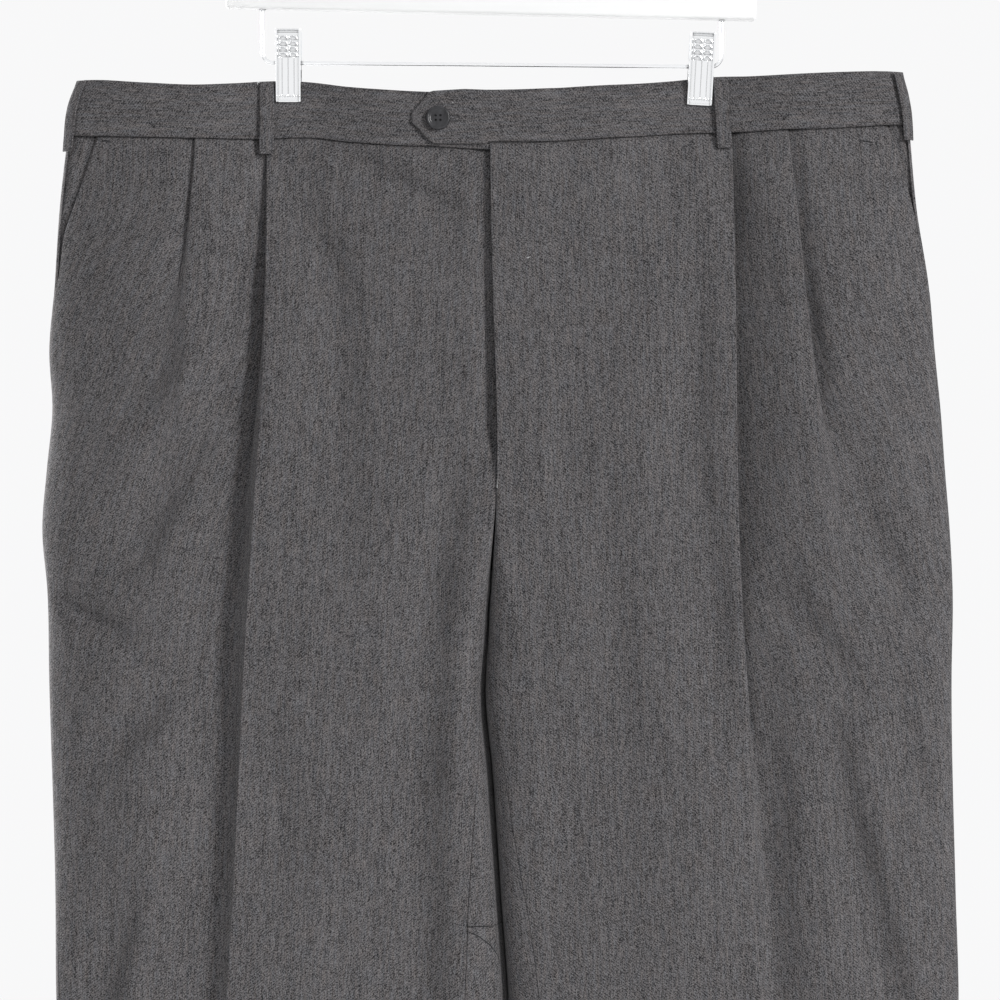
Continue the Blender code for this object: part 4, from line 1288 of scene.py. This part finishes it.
def close_grid(form, outer, inner):
    """Adds a closed slab between two grids of points to a bmesh."""
    rows, columns = outer.shape[:2]
    made = [[[form.verts.new(p) for p in row] for row in layer] for layer in (outer, inner)]
    for i in range(rows - 1):
        for j in range(columns - 1):
            for k, layer in enumerate(made):
                quad = (layer[i][j], layer[i][j + 1], layer[i + 1][j + 1], layer[i + 1][j])
                form.faces.new(quad if k else quad[::-1])
    ring = [(0, j) for j in range(columns - 1)] + [(i, columns - 1) for i in range(rows - 1)]
    ring += [(rows - 1, j) for j in range(columns - 1, 0, -1)] + [(i, 0) for i in range(rows - 1, 0, -1)]
    for (i, j), (p, q) in zip(ring, ring[1:] + ring[:1]):
        form.faces.new((made[0][i][j], made[0][p][q], made[1][p][q], made[1][i][j]))


def add_ear(form, middle, size):
    """Adds a rounded side ear, through which the rod runs, to a bmesh."""
    made = bmesh.ops.create_cube(form, size=1)
    bmesh.ops.scale(form, vec=size, verts=made["verts"])
    bmesh.ops.translate(form, vec=middle, verts=made["verts"])
    edges = {e for v in made["verts"] for e in v.link_edges}
    crossing = [e for e in edges if abs(e.verts[0].co.x - e.verts[1].co.x) > size[0] / 2]
    bmesh.ops.bevel(form, geom=crossing, offset=2.2, segments=5, profile=0.5, affect="EDGES")


class Graph:
    """A small helper for building one material's nodes."""

    def __init__(self, name, **settings):
        self.material = bpy.data.materials.new(name)
        self.material.use_nodes = True
        self.tree = self.material.node_tree
        self.shader = self.tree.nodes["Principled BSDF"]
        for key, value in settings.items():
            self.shader.inputs[key.replace("_", " ")].default_value = value

    def node(self, kind, **values):
        made = self.tree.nodes.new("ShaderNode" + kind)
        for key, value in values.items():
            if hasattr(made, key):
                setattr(made, key, value)
            else:
                made.inputs[key.replace("_", " ")].default_value = value
        return made

    def link(self, source, target):
        self.tree.links.new(source, target)

    def scaled(self, source, scale, turn=0.0):
        mapping = self.node("Mapping", Scale=scale, Rotation=(0, 0, turn))
        self.link(source, mapping.inputs["Vector"])
        return mapping.outputs["Vector"]

    def noise(self, vector, detail, roughness=0.5, dims="2D"):
        made = self.node("TexNoise", noise_dimensions=dims, Scale=1.0, Detail=detail, Roughness=roughness)
        self.link(vector, made.inputs["Vector"])
        return made.outputs[0]

    def solid_noise(self, scale, detail, roughness, turn=0.0):
        """Noise through the object's own space."""
        where = self.scaled(self.node("TexCoord").outputs["Object"], scale, turn)
        return self.noise(where, detail, roughness, "3D")

    def cells(self, vector):
        """One random value for each small irregular cell."""
        made = self.node("TexVoronoi", voronoi_dimensions="2D", Scale=1.0)
        self.link(vector, made.inputs["Vector"])
        parts = self.node("SeparateColor")
        self.link(made.outputs["Color"], parts.inputs[0])
        return parts.outputs[0]

    def math(self, operation, a, b):
        made = self.node("Math", operation=operation)
        for value, target in zip((a, b), made.inputs):
            if isinstance(value, (int, float)):
                target.default_value = value
            else:
                self.link(value, target)
        return made.outputs[0]

    def weighted(self, *pairs):
        """0.5 plus each value's distance from 0.5 times its weight."""
        total = 0.5
        for value, weight in pairs:
            share = self.math("MULTIPLY", self.math("SUBTRACT", value, 0.5), weight)
            total = self.math("ADD", share, total)
        return total

    def blend(self, factor, low, high):
        made = self.node("Mix", data_type="RGBA", clamp_factor=True)
        self.link(factor, made.inputs["Factor"])
        made.inputs[6].default_value, made.inputs[7].default_value = (*low, 1), (*high, 1)
        return made.outputs[2]

    def paint(self, factor, low, high):
        self.link(self.blend(factor, low, high), self.shader.inputs["Base Color"])

    def raise_by(self, height, distance, strength):
        made = self.node("Bump", Strength=strength, Distance=distance)
        self.link(height, made.inputs["Height"])
        self.link(made.outputs[0], self.shader.inputs["Normal"])


def wool_finish():
    """Heathered grey worsted: fine streaks along the warp, mottled fibres and a slight twill."""
    g = Graph("heathered_wool", Roughness=0.88, Specular_IOR_Level=0.1, Sheen_Weight=0.12,
              Sheen_Roughness=0.5)
    uv = g.node("UVMap", uv_map="Cloth").outputs[0]
    grain = g.cells(g.scaled(uv, (2400, 2100, 1)))
    slub = g.noise(g.scaled(uv, (1300, 75, 1)), 1)
    streak = g.noise(g.scaled(uv, (520, 15, 1)), 2, 0.6)
    wide = g.noise(g.scaled(uv, (130, 8, 1)), 2)
    mottle = g.noise(g.scaled(uv, (60, 30, 1)), 3, 0.55)
    wave = g.node("TexWave", wave_type="BANDS", bands_direction="X", wave_profile="SIN", Scale=1.0,
                  Distortion=1.2, Detail=1.5)
    g.link(g.scaled(uv, (170, 170, 1), math.radians(52)), wave.inputs["Vector"])
    twill = wave.outputs[1]
    tone = g.weighted((grain, 1.2), (slub, 0.7), (streak, 0.45), (wide, 0.22), (mottle, 0.1), (twill, 0.26))
    hue = g.noise(g.scaled(uv, (420, 60, 1)), 1.5)
    mixed = g.node("Mix", data_type="RGBA", blend_type="MULTIPLY", Factor=1.0)
    g.link(g.blend(tone, (0.011, 0.0106, 0.0114), (0.182, 0.175, 0.177)), mixed.inputs[6])
    g.link(g.blend(hue, (0.93, 0.99, 1.06), (1.08, 1.0, 0.95)), mixed.inputs[7])
    g.link(mixed.outputs[2], g.shader.inputs["Base Color"])
    g.raise_by(g.weighted((grain, 0.3), (slub, 0.3), (twill, 0.3)), 0.0002, 0.4)
    return g.material


def horn_finish():
    """Dark grey horn with cloudy veins under a soft polish."""
    g = Graph("grey_horn", Roughness=0.26, Specular_IOR_Level=0.25, Coat_Weight=0.25, Coat_Roughness=0.12)
    cloud = g.solid_noise((140, 140, 300), 3, 0.6)
    vein = g.solid_noise((420, 90, 300), 2, 0.6, 0.6)
    g.paint(g.weighted((cloud, 1.1), (vein, 0.8)), (0.006, 0.006, 0.007), (0.05, 0.05, 0.055))
    g.raise_by(cloud, 0.0001, 0.3)
    return g.material


def thread_finish(name, dark, light):
    """Thread with fine fibres, between a dark and a light tone."""
    g = Graph(name, Roughness=0.75, Specular_IOR_Level=0.25)
    fibre = g.solid_noise((1800, 1800, 1800), 2, 0.5)
    g.paint(g.weighted((fibre, 1.6)), dark, light)
    g.raise_by(fibre, 0.0001, 0.4)
    return g.material


def chrome_finish():
    """Bright plating with faint wear, its colour darkened in the hollows as painted shade."""
    g = Graph("bright_chrome", Metallic=1.0)
    # Painted shade: ambient occlusion, squared, darkens the plating's base colour in its hollows and
    # creases.
    painted_shade_ao = g.node("AmbientOcclusion", samples=6, Distance=0.0022).outputs["AO"]
    g.paint(g.math("MULTIPLY", painted_shade_ao, painted_shade_ao), (0.1, 0.1, 0.105), (0.93, 0.94, 0.95))
    wear = g.solid_noise((220, 220, 220), 3, 0.6)
    g.link(g.math("ADD", g.math("MULTIPLY", wear, 0.16), 0.05), g.shader.inputs["Roughness"])
    return g.material


def lacquer_finish():
    """White lacquer over faint grain along the bar."""
    g = Graph("white_lacquer", Roughness=0.28, Specular_IOR_Level=0.5, Coat_Weight=0.2, Coat_Roughness=0.15)
    grain = g.solid_noise((9, 160, 160), 3, 0.55)
    g.paint(grain, (0.95, 0.95, 0.945), (0.99, 0.99, 0.985))
    g.raise_by(grain, 0.0001, 0.15)
    return g.material


def floor_finish():
    """Pale matt paper with a faint cloud."""
    g = Graph("pale_floor", Roughness=0.8)
    g.paint(g.solid_noise((3, 3, 3), 2, 0.5), (0.8, 0.8, 0.8), (0.86, 0.86, 0.86))
    return g.material


FINISHES = {
    "wool": wool_finish(),
    "horn": horn_finish(),
    "thread": thread_finish("dark_thread", (0.006, 0.006, 0.007), (0.04, 0.04, 0.043)),
    "wool_thread": thread_finish("grey_thread", (0.05, 0.05, 0.05), (0.13, 0.128, 0.13)),
    "lint": thread_finish("pale_lint", (0.55, 0.55, 0.55), (0.85, 0.85, 0.85)),
    "chrome": chrome_finish(),
    "white_lacquer": lacquer_finish(),
}

VIEW_CENTRE = (6.3, -460.3)
VIEW_WIDTH = 737.6
VIEW_DISTANCE = 2500
FLOOR_BELOW = 0.16
SEEN_LEVEL, LIT_LEVEL = 0.94, 0.4


def make_camera():
    """A long lens straight in front, on the picture's middle at the garment's plane."""
    data = bpy.data.cameras.new("camera")
    data.lens = data.sensor_width * VIEW_DISTANCE / VIEW_WIDTH
    data.dof.use_dof = False
    camera = added("camera", data)
    camera.location = Vector((VIEW_CENTRE[0], -VIEW_DISTANCE, VIEW_CENTRE[1])) * MM
    camera.rotation_euler = (math.radians(90), 0, 0)
    bpy.context.scene.camera = camera


def soft_light(name, place_m, aim_m, size, power):
    """A rectangular soft box at a place in metres, aimed at a point."""
    data = bpy.data.lights.new(name, "AREA")
    data.shape = "RECTANGLE"
    data.size, data.size_y = size
    data.energy = power
    light = added(name, data)
    light.location = place_m
    light.rotation_euler = (Vector(aim_m) - Vector(place_m)).to_track_quat("-Z", "Y").to_euler()


def make_lights():
    """A tall soft box on each face, a weak one beside the right leg, and an even pale surround,
    which reflections and the camera see brighter than it lights."""
    middle = (0, 0, -0.5)
    soft_light("front_key", (4.0, -3.35, 1.9), middle, (1.0, 3.0), 262)
    soft_light("left_rim", (-2.9, 0.8, 0.2), middle, (0.4, 2.0), 120)
    soft_light("back_key", (-4.0, 3.35, 1.9), middle, (1.0, 3.0), 262)
    world = bpy.data.worlds.new("studio")
    bpy.context.scene.world = world
    world.use_nodes = True
    nodes, links = world.node_tree.nodes, world.node_tree.links
    nodes.clear()
    seen, lit = nodes.new("ShaderNodeBackground"), nodes.new("ShaderNodeBackground")
    seen.inputs["Color"].default_value = (SEEN_LEVEL, SEEN_LEVEL, SEEN_LEVEL + 0.005, 1)
    lit.inputs["Color"].default_value = (0.97, 0.98, 1.0, 1)
    lit.inputs["Strength"].default_value = LIT_LEVEL
    rays, mix = nodes.new("ShaderNodeLightPath"), nodes.new("ShaderNodeMixShader")
    out = nodes.new("ShaderNodeOutputWorld")
    bright = nodes.new("ShaderNodeMath")
    bright.operation = "MAXIMUM"
    links.new(rays.outputs["Is Camera Ray"], bright.inputs[0])
    links.new(rays.outputs["Is Glossy Ray"], bright.inputs[1])
    links.new(bright.outputs[0], mix.inputs[0])
    links.new(lit.outputs[0], mix.inputs[1])
    links.new(seen.outputs[0], mix.inputs[2])
    links.new(mix.outputs[0], out.inputs[0])
    bpy.context.scene.view_settings.view_transform = "Standard"


def make_floor():
    """A round pale floor just below the hems."""
    form = bmesh.new()
    bmesh.ops.create_circle(form, cap_ends=True, segments=96, radius=2.1)
    mesh = bpy.data.meshes.new("floor")
    form.to_mesh(mesh)
    form.free()
    mesh.materials.append(floor_finish())
    floor = added("floor", mesh)
    floor.location = (0, 0, cad_box[0][2] - FLOOR_BELOW)


make_camera()
make_lights()
make_floor()
make_fronts()
make_backs()
make_facings()
make_fly_shield()
make_waistbands()
make_belt_loops()
make_button()
make_buttonhole()
make_tacks()
make_fly_stitching()
make_fork_seam()
make_lint()
make_bar()
make_rod()
make_hook()
for clip_side in SIGN:
    make_clip(clip_side)
